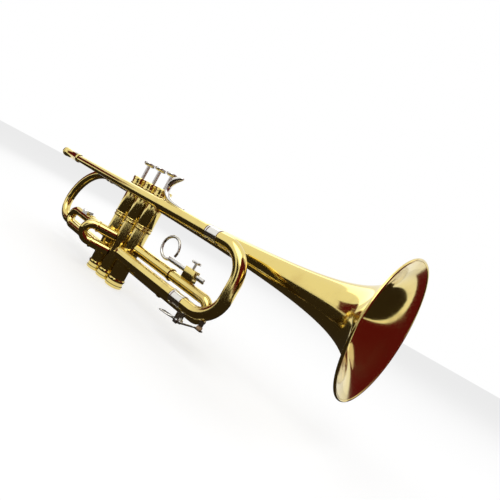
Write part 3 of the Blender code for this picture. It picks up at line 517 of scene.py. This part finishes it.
@dataclass
class BellSection:
    """Bell with its rolled rim, the bell bow and the ferrule between them."""

    flare_length: float = 0.00794
    flare_power: float = 0.57
    rim_radius: float = 0.0615
    rim_bead: float = 0.0011
    wall: float = 0.0006
    top_bend: float = 0.0589
    port_bend: float = 0.004275
    tail_radius: float = 0.0058
    tail_inset: float = 0.0059
    casing_surface: float = 0.0093
    ferrule_length: float = 0.012
    ferrule_wall: float = 0.0008
    reach_margin: float = 0.0002
    stations: int = 46
    crowding: float = 2.2
    bead_steps: int = 8
    bead_start: float = -110.0
    bead_sweep: float = 290.0

    def radius(self, x: float, rim: float) -> float:
        """Outer radius of the flare at x."""
        behind = max(rim - x, 0.0)
        return self.rim_radius * ((behind + self.flare_length) / self.flare_length) ** -self.flare_power

    def build(self, bench: Bench) -> None:
        """Model and dress the bell, its bow and the ferrule on their joint.

        Args:
            bench: The bench that models and dresses.
        """
        axis = middle("bell")
        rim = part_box("bell_flare")[1][0] - self.rim_bead * 0.3
        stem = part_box("bell")[0][0]
        self.build_bell(bench, axis, stem, rim)
        self.build_bow(bench, axis, stem, self.radius(stem, rim))
        self.build_ferrule(bench, axis, stem, self.radius(stem + self.ferrule_length / 2, rim))

    def build_bell(self, bench: Bench, axis: Vector, stem: float, rim: float) -> None:
        """Turn the bell, from the rolled rim back to the stem and forward along the inside.

        Args:
            bench: The bench that models and dresses.
            axis: Middle of the bell's stem.
            stem: Where the stem ends.
            rim: Where the flare ends.
        """
        shares = [(step / self.stations) ** self.crowding for step in range(self.stations + 1)]
        spots = [rim - (rim - stem) * share for share in shares]
        outer = [(self.radius(x, rim), x) for x in spots]
        inner = [(radius - self.wall, x) for radius, x in outer[1:]]
        profile = self.bead(rim)[::-1] + outer[2:] + inner[:0:-1]
        bell = bench.turned(profile, (0.0, axis.y, axis.z), ALONG_X, BELL_SIDES)
        bench.dress(bell, "bell_spun", Slot.BRASS, ("bell", "bell_flare"))

    def bead(self, rim: float) -> Profile:
        """Rolled edge of the bell, from its inside round the front to its back.

        Args:
            rim: Where the flare ends.

        Returns:
            The edge's points.
        """
        points = []
        for step in range(self.bead_steps + 1):
            angle = math.radians(self.bead_start + self.bead_sweep * step / self.bead_steps)
            radius = self.rim_radius - self.rim_bead * 0.6 + self.rim_bead * math.sin(angle) * 0.9
            points.append((radius, rim - self.rim_bead * 0.7 + self.rim_bead * math.cos(angle)))
        return points

    def build_bow(self, bench: Bench, axis: Vector, start: float, stem_radius: float) -> None:
        """Model the bow from the stem round to the first valve.

        Args:
            bench: The bench that models and dresses.
            axis: Middle of the bell's stem.
            start: Where the bow meets the stem.
            stem_radius: The stem's radius there.
        """
        low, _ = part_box("bell_bow")
        reach = low[0] + self.tail_radius + self.reach_margin
        tail_height = low[2] + self.tail_radius
        valve = middle("valve_casing_1")
        port = middle("bottom_cap_1").y + self.casing_surface
        tail_y = axis.y - self.tail_inset
        corners = [(start, axis.y, axis.z), (reach, axis.y, axis.z), (reach, tail_y, tail_height),
                   (valve.x, tail_y, tail_height), (valve.x, port, tail_height)]
        path = bent(corners, (self.top_bend, axis.z - tail_height - self.top_bend, self.port_bend))
        bow = bench.drawn(path, (stem_radius, self.tail_radius), TUBE_RESOLUTION)
        bench.dress(bow, "bell_bow_tube", Slot.BRASS, ("bell_bow",))

    def build_ferrule(self, bench: Bench, axis: Vector, place: float, bore: float) -> None:
        """Turn the ferrule over the joint of stem and bow.

        Args:
            bench: The bench that models and dresses.
            axis: Middle of the bell's stem.
            place: Middle of the ferrule.
            bore: Its inner radius.
        """
        skin = bore + self.ferrule_wall
        ribs = [(skin - 0.0004, 0.0), (skin, 0.0006), (skin, 0.002), (skin - 0.0003, 0.0025)]
        rear = off(-self.ferrule_length / 2, [(bore, 0.0)] + ribs)
        front = [(radius, -distance) for radius, distance in rear[::-1]]
        ring = bench.turned(rear + front, (place, axis.y, axis.z), ALONG_X)
        bench.dress(ring, "bell_joint_ferrule", Slot.BRASS, (), "root")


@dataclass
class LeadpipeSection:
    """Receiver, leadpipe, the two main sleeves and the finger hook."""

    sleeve: float = 0.00665
    sleeve_bore: float = 0.00625
    bead: float = 0.0072
    elbow_bend: float = 0.0095
    casing_surface: float = 0.0093
    ring: float = 0.0063
    receiver: float = 0.0059
    socket: float = 0.0052
    pipe: float = 0.0049
    pipe_bore: float = 0.0044
    engagement: float = 0.012
    seat_gap: float = 0.0003
    # Each station of the hook is its x, its height over the pipe's axis and its radius.
    hook_stations: tuple[Point, ...] = (
        (0.0862, 0.0067, 0.0008), (0.0800, 0.0069, 0.0014), (0.0730, 0.0072, 0.0018),
        (0.0660, 0.0078, 0.0020), (0.0600, 0.0090, 0.0021), (0.0555, 0.0109, 0.0022),
        (0.0520, 0.0135, 0.0024), (0.0498, 0.0165, 0.0027), (0.0489, 0.0200, 0.0030),
        (0.0492, 0.0237, 0.0032), (0.0506, 0.0270, 0.0034), (0.0530, 0.0299, 0.0034),
        (0.0562, 0.0323, 0.0032), (0.0595, 0.0339, 0.0027), (0.0622, 0.0349, 0.0020),
        (0.0640, 0.0354, 0.0010))
    hook_widening: float = 1.25
    hook_resolution: int = 7

    def build(self, bench: Bench) -> None:
        """Model and dress the section.

        Args:
            bench: The bench that models and dresses.
        """
        axis = middle("mouthpiece_receiver")
        self.build_receiver(bench, axis)
        self.build_leadpipe(bench, axis)
        self.build_sleeves(bench, axis)
        self.build_hook(bench, axis)

    def build_receiver(self, bench: Bench, axis: Vector) -> None:
        """Turn the receiver with two rings at its mouth and one at its front.

        Args:
            bench: The bench that models and dresses.
            axis: Middle of the receiver.
        """
        low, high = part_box("mouthpiece_receiver")
        wall, ring, socket = self.receiver, self.ring, self.socket
        rear_part = off(low[0], [
            (0.0048, 0.0004), (0.0051, 0.0), (0.0061, 0.0), (ring, 0.0004), (ring, 0.0034),
            (0.0061, 0.0038), (wall, 0.0042), (0.0062, 0.0050), (0.0062, 0.0058), (wall, 0.0064)])
        front_part = off(high[0], [
            (wall, -0.0045), (0.0062, -0.004), (0.0062, -0.003), (wall, -0.0025), (0.0057, 0.0),
            (socket, 0.0), (socket, -self.engagement), (self.pipe_bore, -self.engagement)])
        piece = bench.turned(rear_part + front_part, (0, axis.y, axis.z), ALONG_X)
        bench.dress(piece, "receiver_turned", Slot.BRASS, ("mouthpiece_receiver",))

    def build_leadpipe(self, bench: Bench, axis: Vector) -> None:
        """Turn the leadpipe, which widens from the receiver to the slide.

        Args:
            bench: The bench that models and dresses.
            axis: Middle of the receiver.
        """
        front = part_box("mouthpiece_receiver")[1][0]
        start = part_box("leadpipe")[0][0]
        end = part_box("upper_slide_sleeve")[0][0] - self.seat_gap
        pipe = [(self.pipe_bore, start), (self.pipe, start), (self.pipe, front)]
        pipe += off(end, [(0.0061, 0.0), (0.0058, 0.0001), (0.0058, self.engagement),
                          (0.0054, self.engagement)])
        piece = bench.turned(pipe, (0, axis.y, axis.z), ALONG_X)
        bench.dress(piece, "leadpipe_drawn", Slot.BRASS, ("leadpipe",))

    def build_sleeves(self, bench: Bench, axis: Vector) -> None:
        """Model the upper sleeve, and the lower one with its elbow and its bead.

        Args:
            bench: The bench that models and dresses.
            axis: Middle of the receiver.
        """
        low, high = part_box("upper_slide_sleeve")
        start, end = low[0], high[0]
        tube, bead = self.sleeve, self.bead
        rear_part = off(start, [(self.sleeve_bore, 0.0), (tube - 0.0002, 0.0), (tube + 0.0003, 0.0006),
                                (tube + 0.0003, 0.003), (tube, 0.0036)])
        front_part = off(end, [(tube, -0.003), (bead, -0.0026), (bead, -0.0006), (tube, 0.0),
                               (self.sleeve_bore, 0.0)])
        piece = bench.turned(rear_part + front_part, (0, axis.y, axis.z), ALONG_X)
        bench.dress(piece, "upper_sleeve_drawn", Slot.BRASS, ("upper_slide_sleeve",))
        height = middle("tuning_slide_leg_lower").z
        valve = middle("top_cap_3")
        port = valve.y - self.casing_surface
        corners = [(end, axis.y, height), (valve.x, axis.y, height), (valve.x, port, height)]
        piece = bench.drawn(bent(corners, (self.elbow_bend,)), (tube, tube), TUBE_RESOLUTION)
        bench.dress(piece, "lower_sleeve_elbow", Slot.BRASS, ("lower_slide_sleeve",))
        ring = off(end, [(tube - 0.0002, -0.003), (bead, -0.0026), (bead, -0.0006),
                         (tube - 0.0002, -0.0001)])
        piece = bench.turned(ring, (0, axis.y, height), ALONG_X)
        bench.dress(piece, "lower_sleeve_bead", Slot.BRASS, (), "root")

    def build_hook(self, bench: Bench, axis: Vector) -> None:
        """Draw the hook and widen it across the pipe.

        Args:
            bench: The bench that models and dresses.
            axis: Middle of the receiver.
        """
        points = [Vector((x, 0.0, rise)) for x, rise, _ in self.hook_stations]
        radii = tuple(radius for _, _, radius in self.hook_stations)
        hook = bench.drawn(points, radii, self.hook_resolution)
        hook.scale = (1.0, self.hook_widening, 1.0)
        hook.location = (0.0, axis.y, axis.z)
        bpy.ops.object.transform_apply(location=True, rotation=True, scale=True)
        bench.dress(hook, "little_finger_hook", Slot.NICKEL, ("finger_hook",))


@dataclass
class TuningSlide:
    """Nickel silver legs with their ferrules, and the brass bow."""

    leg: float = 0.00595
    leg_bore: float = 0.0055
    band: float = 0.00665
    bead: float = 0.0072
    bow: float = 0.0065
    bend: float = 0.028
    ferrule_length: float = 0.0157
    overlap: float = 0.001
    nipple_sides: int = 32

    def build(self, bench: Bench) -> None:
        """Model and dress the slide.

        Args:
            bench: The bench that models and dresses.
        """
        for word in ("upper", "lower"):
            self.build_leg(bench, word)
        self.build_bow(bench)
        self.build_nipple(bench)

    def build_leg(self, bench: Bench, word: str) -> None:
        """Turn a leg with its ferrule.

        Args:
            bench: The bench that models and dresses.
            word: Which leg it is.
        """
        node = "tuning_slide_leg_%s" % word
        low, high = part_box(node)
        axis = middle(node)
        profile = [(self.leg_bore, low[0]), (self.leg, low[0])]
        profile += off(high[0] - self.ferrule_length, [
            (self.leg, 0.0), (self.bead, 0.0), (self.bead, 0.0014), (self.band, 0.002)])
        profile += off(high[0], [
            (self.band, -0.0022), (self.bead, -0.0017), (self.bead, -0.0004), (self.band, 0.0),
            (self.leg_bore, 0.0)])
        piece = bench.turned(profile, (0, axis.y, axis.z), ALONG_X)
        bench.dress(piece, "slide_leg_%s" % word, Slot.NICKEL, (node,))

    def build_bow(self, bench: Bench) -> None:
        """Draw the bow from one leg round to the other.

        Args:
            bench: The bench that models and dresses.
        """
        low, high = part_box("tuning_slide_bow")
        upper, lower = middle("tuning_slide_leg_upper"), middle("tuning_slide_leg_lower")
        start, reach = low[0] - self.overlap, high[0] - self.bow
        corners = [(start, upper.y, upper.z), (reach, upper.y, upper.z), (reach, upper.y, lower.z),
                   (start, upper.y, lower.z)]
        piece = bench.drawn(bent(corners, (self.bend, self.bend)), (self.bow, self.bow), TUBE_RESOLUTION)
        bench.dress(piece, "main_tuning_bow", Slot.BRASS, ("tuning_slide_bow",))

    def build_nipple(self, bench: Bench) -> None:
        """Turn the short drain tube that the water key's cork closes.

        Args:
            bench: The bench that models and dresses.
        """
        low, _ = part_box("tuning_slide_bow")
        cork = middle("water_key_cork")
        nipple = off(low[2], [(0.0, 0.006), (0.0030, 0.006), (0.0027, 0.004), (0.0022, 0.0032),
                              (0.0022, 0.0006), (0.0018, 0.0), (0.0, 0.0)])
        piece = bench.turned(nipple, (cork.x, cork.y, 0), ALONG_Z, self.nipple_sides)
        bench.dress(piece, "water_key_nipple", Slot.NICKEL, (), "tuning_slide")


@dataclass
class ValveBlock:
    """Casings, caps, stems and buttons of the three valves."""

    casing: float = 0.0098
    bore: float = 0.0086
    upper: float = 0.0104
    ring_drop: float = 0.049
    cap: float = 0.011
    cap_bore: float = 0.0101
    stem: float = 0.0023
    button: float = 0.0078
    pearl: float = 0.0062
    rear_link_drop: float = 0.0582
    front_link_drop: float = 0.0642
    baluster_foot: float = 0.0003
    baluster_swell: float = 0.0008
    baluster_half: float = 0.0012
    baluster_offset: float = 0.0018
    link_bore: float = 0.0046
    link_wall: float = 0.0048
    link_bead: float = 0.0055
    casing_sides: int = 96
    stem_sides: int = 40
    pearl_sides: int = 64

    def build(self, bench: Bench) -> None:
        """Model and dress each valve.

        Args:
            bench: The bench that models and dresses.
        """
        for number in (1, 2, 3):
            self.build_caps(bench, number)
            self.build_finger_pieces(bench, number)
            self.build_casing(bench, number)

    def build_casing(self, bench: Bench, number: int) -> None:
        """Turn a casing with its balusters, and an outer one's short link to the middle one.

        Args:
            bench: The bench that models and dresses.
            number: The valve's number.
        """
        node = "valve_casing_%d" % number
        low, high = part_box(node)
        x = middle("top_cap_%d" % number).x
        ring_height = high[2] - self.ring_drop
        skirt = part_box("top_cap_%d" % number)[0][2]
        profile = [(self.bore, low[2]), (self.casing, low[2])]
        profile += off(ring_height, [(self.casing, -0.0036), (self.casing + 0.0005, -0.0032)])
        for offset in (-self.baluster_offset, self.baluster_offset):
            for degrees in range(-90, 91, 30):
                angle = math.radians(degrees)
                profile.append((self.casing + self.baluster_foot + self.baluster_swell * math.cos(angle),
                                ring_height + offset + self.baluster_half * math.sin(angle)))
        profile.append((self.upper, ring_height + 0.0038))
        profile += off(skirt, [(self.upper + 0.0001, -0.0015), (self.upper, -0.0004),
                               (self.casing, -0.0003)])
        profile += [(self.casing, high[2]), (self.bore, high[2])]
        piece = bench.turned(profile, (x, 0, 0), ALONG_Z, self.casing_sides)
        bench.dress(piece, "casing_%d_turned" % number, Slot.BRASS, (node,))
        if number == 2:
            return
        side, drop = (1, self.rear_link_drop) if number == 1 else (-1, self.front_link_drop)
        height = high[2] - drop
        link = [(self.link_bore, 0.0), (self.link_bead, 0.0), (self.link_wall, 0.0007),
                (self.link_wall, 0.0028), (self.link_bead, 0.0035), (self.link_bore, 0.0035)]
        piece = bench.turned(link, (x + side * self.casing, 0, height), (side, 0, 0), self.stem_sides)
        bench.dress(piece, "casing_link_%d" % number, Slot.BRASS, (), "root")

    def build_caps(self, bench: Bench, number: int) -> None:
        """Turn the top and bottom caps with their beaded grip rings.

        Args:
            bench: The bench that models and dresses.
            number: The valve's number.
        """
        cap, bore = self.cap, self.cap_bore
        low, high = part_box("top_cap_%d" % number)
        x = middle("top_cap_%d" % number).x
        skirt = off(low[2], [(bore, 0.0), (cap - 0.0004, 0.0), (cap, 0.0004), (cap, 0.0018),
                             (cap - 0.0005, 0.0024)])
        crown = off(high[2], [(cap - 0.0005, -0.0045), (cap, -0.0039), (cap, -0.0013),
                              (cap - 0.0003, -0.0006), (cap - 0.0012, -0.0002), (cap - 0.004, 0.0),
                              (0.0034, 0.0), (0.0030, -0.0004), (0.0026, -0.002), (bore, -0.002)])
        piece = bench.turned(skirt + crown, (x, 0, 0), ALONG_Z, self.casing_sides)
        bench.dress(piece, "top_cap_%d_turned" % number, Slot.BRASS, ("top_cap_%d" % number,))
        low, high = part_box("bottom_cap_%d" % number)
        rim = off(high[2], [(bore, 0.0), (cap - 0.0003, 0.0), (cap, -0.0005), (cap, -0.0022),
                            (cap - 0.0006, -0.0028)])
        foot = off(low[2], [(cap - 0.0006, 0.0042), (cap, 0.0036), (cap, 0.0012), (cap - 0.0006, 0.0005),
                            (cap - 0.002, 0.0), (cap - 0.0045, 0.0004), (0.0040, 0.0006), (0.0024, 0.0),
                            (0.0020, 0.0003), (0.0020, 0.0025), (bore, 0.0025)])
        piece = bench.turned(rim + foot, (x, 0, 0), ALONG_Z, self.casing_sides)
        bench.dress(piece, "bottom_cap_%d_turned" % number, Slot.BRASS, ("bottom_cap_%d" % number,))

    def build_finger_pieces(self, bench: Bench, number: int) -> None:
        """Turn the stem, the button and its shell disc.

        Args:
            bench: The bench that models and dresses.
            number: The valve's number.
        """
        low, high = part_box("valve_stem_%d" % number)
        x = middle("top_cap_%d" % number).x
        stem = [(0.0, low[2]), (self.stem, low[2]), (self.stem, high[2]), (0.0, high[2])]
        piece = bench.turned(stem, (x, 0, 0), ALONG_Z, self.stem_sides)
        bench.dress(piece, "stem_%d_turned" % number, Slot.NICKEL, ("valve_stem_%d" % number,))
        low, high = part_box("finger_button_%d" % number)
        under = off(low[2], [(0.0, 0.0), (0.0040, 0.0), (0.0060, 0.0004), (0.0073, 0.0013),
                             (self.button, 0.0024)])
        rim = off(high[2], [(self.button, -0.0010), (0.0076, -0.0004), (0.0072, 0.0), (0.0067, -0.0001),
                            (0.0065, -0.0004), (0.0065, -0.0011), (0.0, -0.0011)])
        piece = bench.turned(under + rim, (x, 0, 0), ALONG_Z)
        bench.dress(piece, "button_%d_turned" % number, Slot.NICKEL, ("finger_button_%d" % number,))
        low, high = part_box("button_pearl_%d" % number)
        shell = [(0.0, low[2]), (self.pearl, low[2])]
        shell += off(high[2], [(self.pearl, -0.0006), (0.0058, -0.0003), (0.0045, -0.0001), (0.0022, 0.0),
                               (0.0, 0.0)])
        piece = bench.turned(shell, (x, 0, 0), ALONG_Z, self.pearl_sides)
        bench.dress(piece, "shell_disc_%d" % number, Slot.PEARL, ("button_pearl_%d" % number,))


@dataclass(frozen=True)
class SlideRun:
    """Place and reach of one valve slide. The lengths run from its start inside the casing."""

    word: str
    start: Point
    direction: Point
    sleeve_length: float
    leg_start: float
    reach: float


@dataclass
class ValveSlides:
    """The three valve slides with their fixed sleeves."""

    sleeve: float = 0.0064
    bore: float = 0.0060
    bead: float = 0.0072
    leg: float = 0.0057
    spread: float = 0.0207
    second_angle: float = math.radians(48)
    sleeve_start: float = 0.0092
    crook_resolution: int = 10
    clamp_low: Point = (0.1117, -0.004, -0.0093)
    clamp_high: Point = (0.1275, 0.004, 0.0034)
    slot_low: Point = (0.1107, -0.0016, -0.0044)
    slot_high: Point = (0.1285, 0.0016, 0.0014)
    clamp_edge: float = 0.0006

    def runs(self) -> list[SlideRun]:
        """The three slides, with the outer two's reach given from the middle valve's axis.

        Returns:
            The slides in the order of their valves.
        """
        pitch = middle("top_cap_3").x
        aslant = (-math.cos(self.second_angle), -math.sin(self.second_angle), 0.0)
        return [
            SlideRun("first", (-pitch, -0.004, -0.0198), (-1.0, 0.0, 0.0), 0.073 - pitch,
                     0.048 - pitch, 0.119 - pitch),
            SlideRun("second", (0.0, 0.0, -0.0155), aslant, 0.035, 0.016, 0.048),
            SlideRun("third", (pitch, 0.0, -0.0148), ALONG_X, 0.0977 - pitch,
                     0.060 - pitch, 0.159 - pitch),
        ]

    def build(self, bench: Bench) -> None:
        """Model and dress each slide and its sleeves.

        Args:
            bench: The bench that models and dresses.
        """
        for run in self.runs():
            self.build_slide(bench, run)

    def build_slide(self, bench: Bench, run: SlideRun) -> None:
        """Model one slide's two sleeves and its crook, and the third one's clamp block.

        Args:
            bench: The bench that models and dresses.
            run: The slide's place and reach.
        """
        fall = Vector((0, 0, -self.spread))
        base, along = Vector(run.start), Vector(run.direction)
        for place, drop in (("upper", Vector()), ("lower", fall)):
            node = "%s_slide_sleeve_%s" % (run.word, place)
            self.build_sleeve(bench, node, base + drop, run.direction, run.sleeve_length)
        near, far = base + along * run.leg_start, base + along * run.reach
        path = bent([near, far, far + fall, near + fall], (self.spread / 2, self.spread / 2))
        piece = bench.drawn(path, (self.leg, self.leg), self.crook_resolution)
        name = "%s_slide_crook" % run.word
        if run.word == "third":
            bench.dress(piece, name, Slot.BRASS, (), bench.body_of["third_slide"])
            self.build_clamp(bench)
        else:
            bench.dress(piece, name, Slot.BRASS, ("%s_slide" % run.word,))

    def build_sleeve(self, bench: Bench, node: str, base: Vector, direction: Point, length: float) -> None:
        """Turn one sleeve from just inside its casing to the bead.

        Args:
            bench: The bench that models and dresses.
            node: The sleeve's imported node.
            base: Start of its axis, inside the casing.
            direction: Direction of the axis.
            length: Distance from the base to the sleeve's open end.
        """
        profile = [(self.bore, self.sleeve_start), (self.sleeve, self.sleeve_start)]
        profile += off(length, [(self.sleeve, -0.0028), (self.bead, -0.0022), (self.bead, -0.0006),
                                (self.bead - 0.0004, -0.0001), (self.bore, 0.0)])
        piece = bench.turned(profile, tuple(base), direction)
        bench.dress(piece, node + "_turned", Slot.BRASS, (node,))

    def build_clamp(self, bench: Bench) -> None:
        """Model the clamp block on the third slide: a cube slotted for the bar, with soft edges.

        Args:
            bench: The bench that models and dresses.
        """
        slot = bench.block(self.slot_low, self.slot_high)
        block = bench.block(self.clamp_low, self.clamp_high)
        cutter = block.modifiers.new("slot", "BOOLEAN")
        cutter.object = slot
        bpy.ops.object.modifier_apply(modifier="slot")
        bench.soften(block, self.clamp_edge)
        bpy.data.objects.remove(slot, do_unlink=True)
        bench.dress(block, "ring_clamp_block", Slot.BRASS, ("third_slide",))


@dataclass
class FingerRing:
    """Adjustable ring and its bar, and the clamp's thumb screw."""

    radius: float = 0.0128
    height: float = 0.009
    wire: float = 0.0017
    thick_share: float = 1.1
    thin_share: float = 0.85
    first_angle: float = -62.0
    sweep: float = 324.0
    steps: int = 48
    bar_start: float = 0.0048
    bar_half: float = 0.0013
    bar_low: float = -0.0041
    bar_high: float = 0.0011
    bar_edge: float = 0.0008
    screw_thread: float = 0.0010
    screw_neck: float = 0.0016
    screw_head: float = 0.0055
    screw_sides: int = 48
    wire_resolution: int = 6

    def build(self, bench: Bench) -> None:
        """Model and dress the ring, its bar and the screw.

        Args:
            bench: The bench that models and dresses.
        """
        low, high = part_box("third_slide_finger_ring")
        centre = Vector((low[0] + self.radius + self.wire, 0.0, self.height))
        self.build_ring(bench, centre)
        bar = bench.block((centre.x + self.bar_start, -self.bar_half, self.bar_low),
                          (high[0], self.bar_half, self.bar_high))
        bench.soften(bar, self.bar_edge)
        bench.dress(bar, "ring_bar", Slot.NICKEL, ("third_slide_finger_ring",))
        self.build_screw(bench)

    def build_ring(self, bench: Bench, centre: Vector) -> None:
        """Draw the open ring, from its thick end at the bar round to its thin one.

        Args:
            bench: The bench that models and dresses.
            centre: Centre of the ring.
        """
        points = []
        for step in range(self.steps + 1):
            angle = math.radians(self.first_angle - self.sweep * step / self.steps)
            points.append(centre + Vector((math.cos(angle), 0.0, math.sin(angle))) * self.radius)
        ends = (self.wire * self.thick_share, self.wire * self.thin_share)
        ring = bench.drawn(points, ends, self.wire_resolution)
        bench.dress(ring, "ring_finger_loop", Slot.NICKEL, (), "finger_ring")

    def build_screw(self, bench: Bench) -> None:
        """Turn the clamp's thumb screw.

        Args:
            bench: The bench that models and dresses.
        """
        low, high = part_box("ring_clamp_screw")
        axis = middle("ring_clamp_screw")
        thread, neck, head = self.screw_thread, self.screw_neck, self.screw_head
        profile = [(0.0, low[2]), (thread, low[2])]
        profile += off(high[2], [(thread, -0.0085), (neck, -0.0083), (neck, -0.0026), (0.0050, -0.0025),
                                 (head, -0.0020), (head, -0.0005), (0.0050, 0.0), (0.0042, -0.0001),
                                 (0.0, -0.0001)])
        piece = bench.turned(profile, (axis.x, axis.y, 0), ALONG_Z, self.screw_sides)
        bench.dress(piece, "clamp_thumb_screw", Slot.NICKEL, ("ring_clamp_screw",))


@dataclass
class Studio:
    """Floor, soft lamps, reflector cards and the camera."""

    camera_place: Point = (0.384869, -0.324106, 0.049701)
    camera_right: Point = (0.619422, 0.619243, 0.482551)
    camera_up: Point = (-0.384029, -0.297100, 0.874215)
    camera_back: Point = (0.684717, -0.726822, 0.053777)
    lens: float = 29.605
    shift: tuple[float, float] = (0.1408, -0.02945)
    sensor: float = 36.0
    clip_start: float = 0.01
    floor_size: float = 12.0
    floor_gap: float = 0.0005
    floor_grey: tuple[float, ...] = (0.55, 0.55, 0.55, 1.0)
    floor_glow: float = 0.6
    world_light: float = 0.42
    lamp_aim: Point = (0.05, 0.0, 0.0)
    maroon: Point = (0.10, 0.008, 0.010)
    dark: Point = (0.03, 0.022, 0.014)
    lamps: tuple[tuple[str, Point, float, float], ...] = (
        ("key_lamp", (0.2, -0.7, 0.9), 0.9, 4.5),
        ("fill_lamp", (0.9, 0.5, 0.7), 1.0, 2.2),
        ("back_lamp", (-0.8, 0.5, 0.7), 0.8, 2.0),
    )
    cards: tuple[tuple[str, Point, float, Point, Point], ...] = (
        ("front_card", (0.8, 0.1, 0.05), 2.6, (0.0, 0.1, 0.05), maroon),
        ("rear_card", (-0.9, -0.2, 0.0), 0.8, (0.0, 0.0, 0.04), maroon),
        ("near_card", (0.1, -0.9, 0.05), 0.5, (0.0, 0.0, 0.05), dark),
        ("low_card", (0.1, -0.2, -0.06), 1.0, (0.1, -0.2, 1.0), dark),
    )

    def build(self) -> None:
        """Build the whole studio."""
        self.build_camera()
        self.build_floor()
        self.build_world()
        for row in self.lamps:
            self.build_lamp(*row)
        for row in self.cards:
            self.build_card(*row)

    def build_camera(self) -> None:
        """Place the camera at the photograph's viewing angle."""
        data = bpy.data.cameras.new("photo_camera")
        data.sensor_width = self.sensor
        data.lens = self.lens
        data.shift_x, data.shift_y = self.shift
        data.clip_start = self.clip_start
        camera = bpy.data.objects.new("photo_camera", data)
        bpy.context.scene.collection.objects.link(camera)
        turn = Matrix((self.camera_right, self.camera_up, self.camera_back)).transposed().to_4x4()
        camera.matrix_world = Matrix.Translation(self.camera_place) @ turn
        bpy.context.scene.camera = camera

    def build_floor(self) -> None:
        """Lay a pale floor that keeps the object's soft shadow."""
        low, _ = CAD_BOX
        bpy.ops.object.select_all(action="DESELECT")
        bpy.ops.mesh.primitive_plane_add(size=self.floor_size, location=(0, 0, low[2] - self.floor_gap))
        floor = bpy.context.object
        floor.name = "floor"
        shader = Shader("pale_floor")
        seen = seen_rays(shader.tree)
        glow = shader.node("ShaderNodeEmission", {},
                           {"Color": (1, 1, 1, 1), "Strength": seen * self.floor_glow})
        matt = shader.node("ShaderNodeBsdfDiffuse", {}, {"Color": self.floor_grey})
        both = shader.node("ShaderNodeAddShader", {}, {})
        shader.feed(both.inputs[0], glow.outputs[0])
        shader.feed(both.inputs[1], matt.outputs[0])
        shader.feed(shader.tree.nodes["Material Output"].inputs["Surface"], both.outputs[0])
        floor.data.materials.append(shader.material)

    def build_world(self) -> None:
        """White surroundings for the camera, softer ones as a light."""
        world = bpy.data.worlds.new("studio_world")
        bpy.context.scene.world = world
        world.use_nodes = True
        tree = world.node_tree
        background = tree.nodes["Background"]
        background.inputs["Color"].default_value = (1, 1, 1, 1)
        strength = seen_rays(tree) * (1.0 - self.world_light) + self.world_light
        tree.links.new(strength.socket, background.inputs["Strength"])
        bpy.context.scene.view_settings.view_transform = "Standard"

    def build_lamp(self, name: str, place: Point, size: float, power: float) -> None:
        """Aim a soft square lamp at the object.

        Args:
            name: The lamp's name.
            place: Where it hangs.
            size: Length of its side in metres.
            power: Its power in watts.
        """
        data = bpy.data.lights.new(name, "AREA")
        data.size = size
        data.energy = power
        lamp = bpy.data.objects.new(name, data)
        lamp.location = place
        aim = Vector(self.lamp_aim) - Vector(place)
        lamp.rotation_euler = aim.to_track_quat("-Z", "Y").to_euler()
        bpy.context.scene.collection.objects.link(lamp)

    def build_card(self, name: str, place: Point, size: float, target: Point, colour: Point) -> None:
        """Stand a dark card that only the polished metal sees.

        Args:
            name: The card's name.
            place: Its centre.
            size: Length of its side in metres.
            target: The point that it faces.
            colour: Colour of its glow.
        """
        bpy.ops.object.select_all(action="DESELECT")
        bpy.ops.mesh.primitive_plane_add(size=size, location=place)
        card = bpy.context.object
        card.name = name
        card.rotation_euler = (Vector(target) - Vector(place)).to_track_quat("Z", "Y").to_euler()
        card.visible_camera = False
        card.visible_shadow = False
        card.visible_diffuse = False
        shader = Shader(name + "_paper")
        glow = shader.node("ShaderNodeEmission", {}, {"Color": (*colour, 1.0), "Strength": 1.0})
        shader.feed(shader.tree.nodes["Material Output"].inputs["Surface"], glow.outputs[0])
        card.data.materials.append(shader.material)


def main() -> None:
    """Build the sections in order and report the result."""
    logging.basicConfig(level=logging.INFO, format="%(name)s: %(message)s")
    bench = Bench()
    sections = (BellSection(), LeadpipeSection(), TuningSlide(), ValveBlock(), ValveSlides(), FingerRing())
    for section in sections:
        section.build(bench)
        LOG.info("%s built", type(section).__name__)
    Studio().build()
    LOG.info("%d pieces", bench.count)


if __name__ == "__main__":
    main()
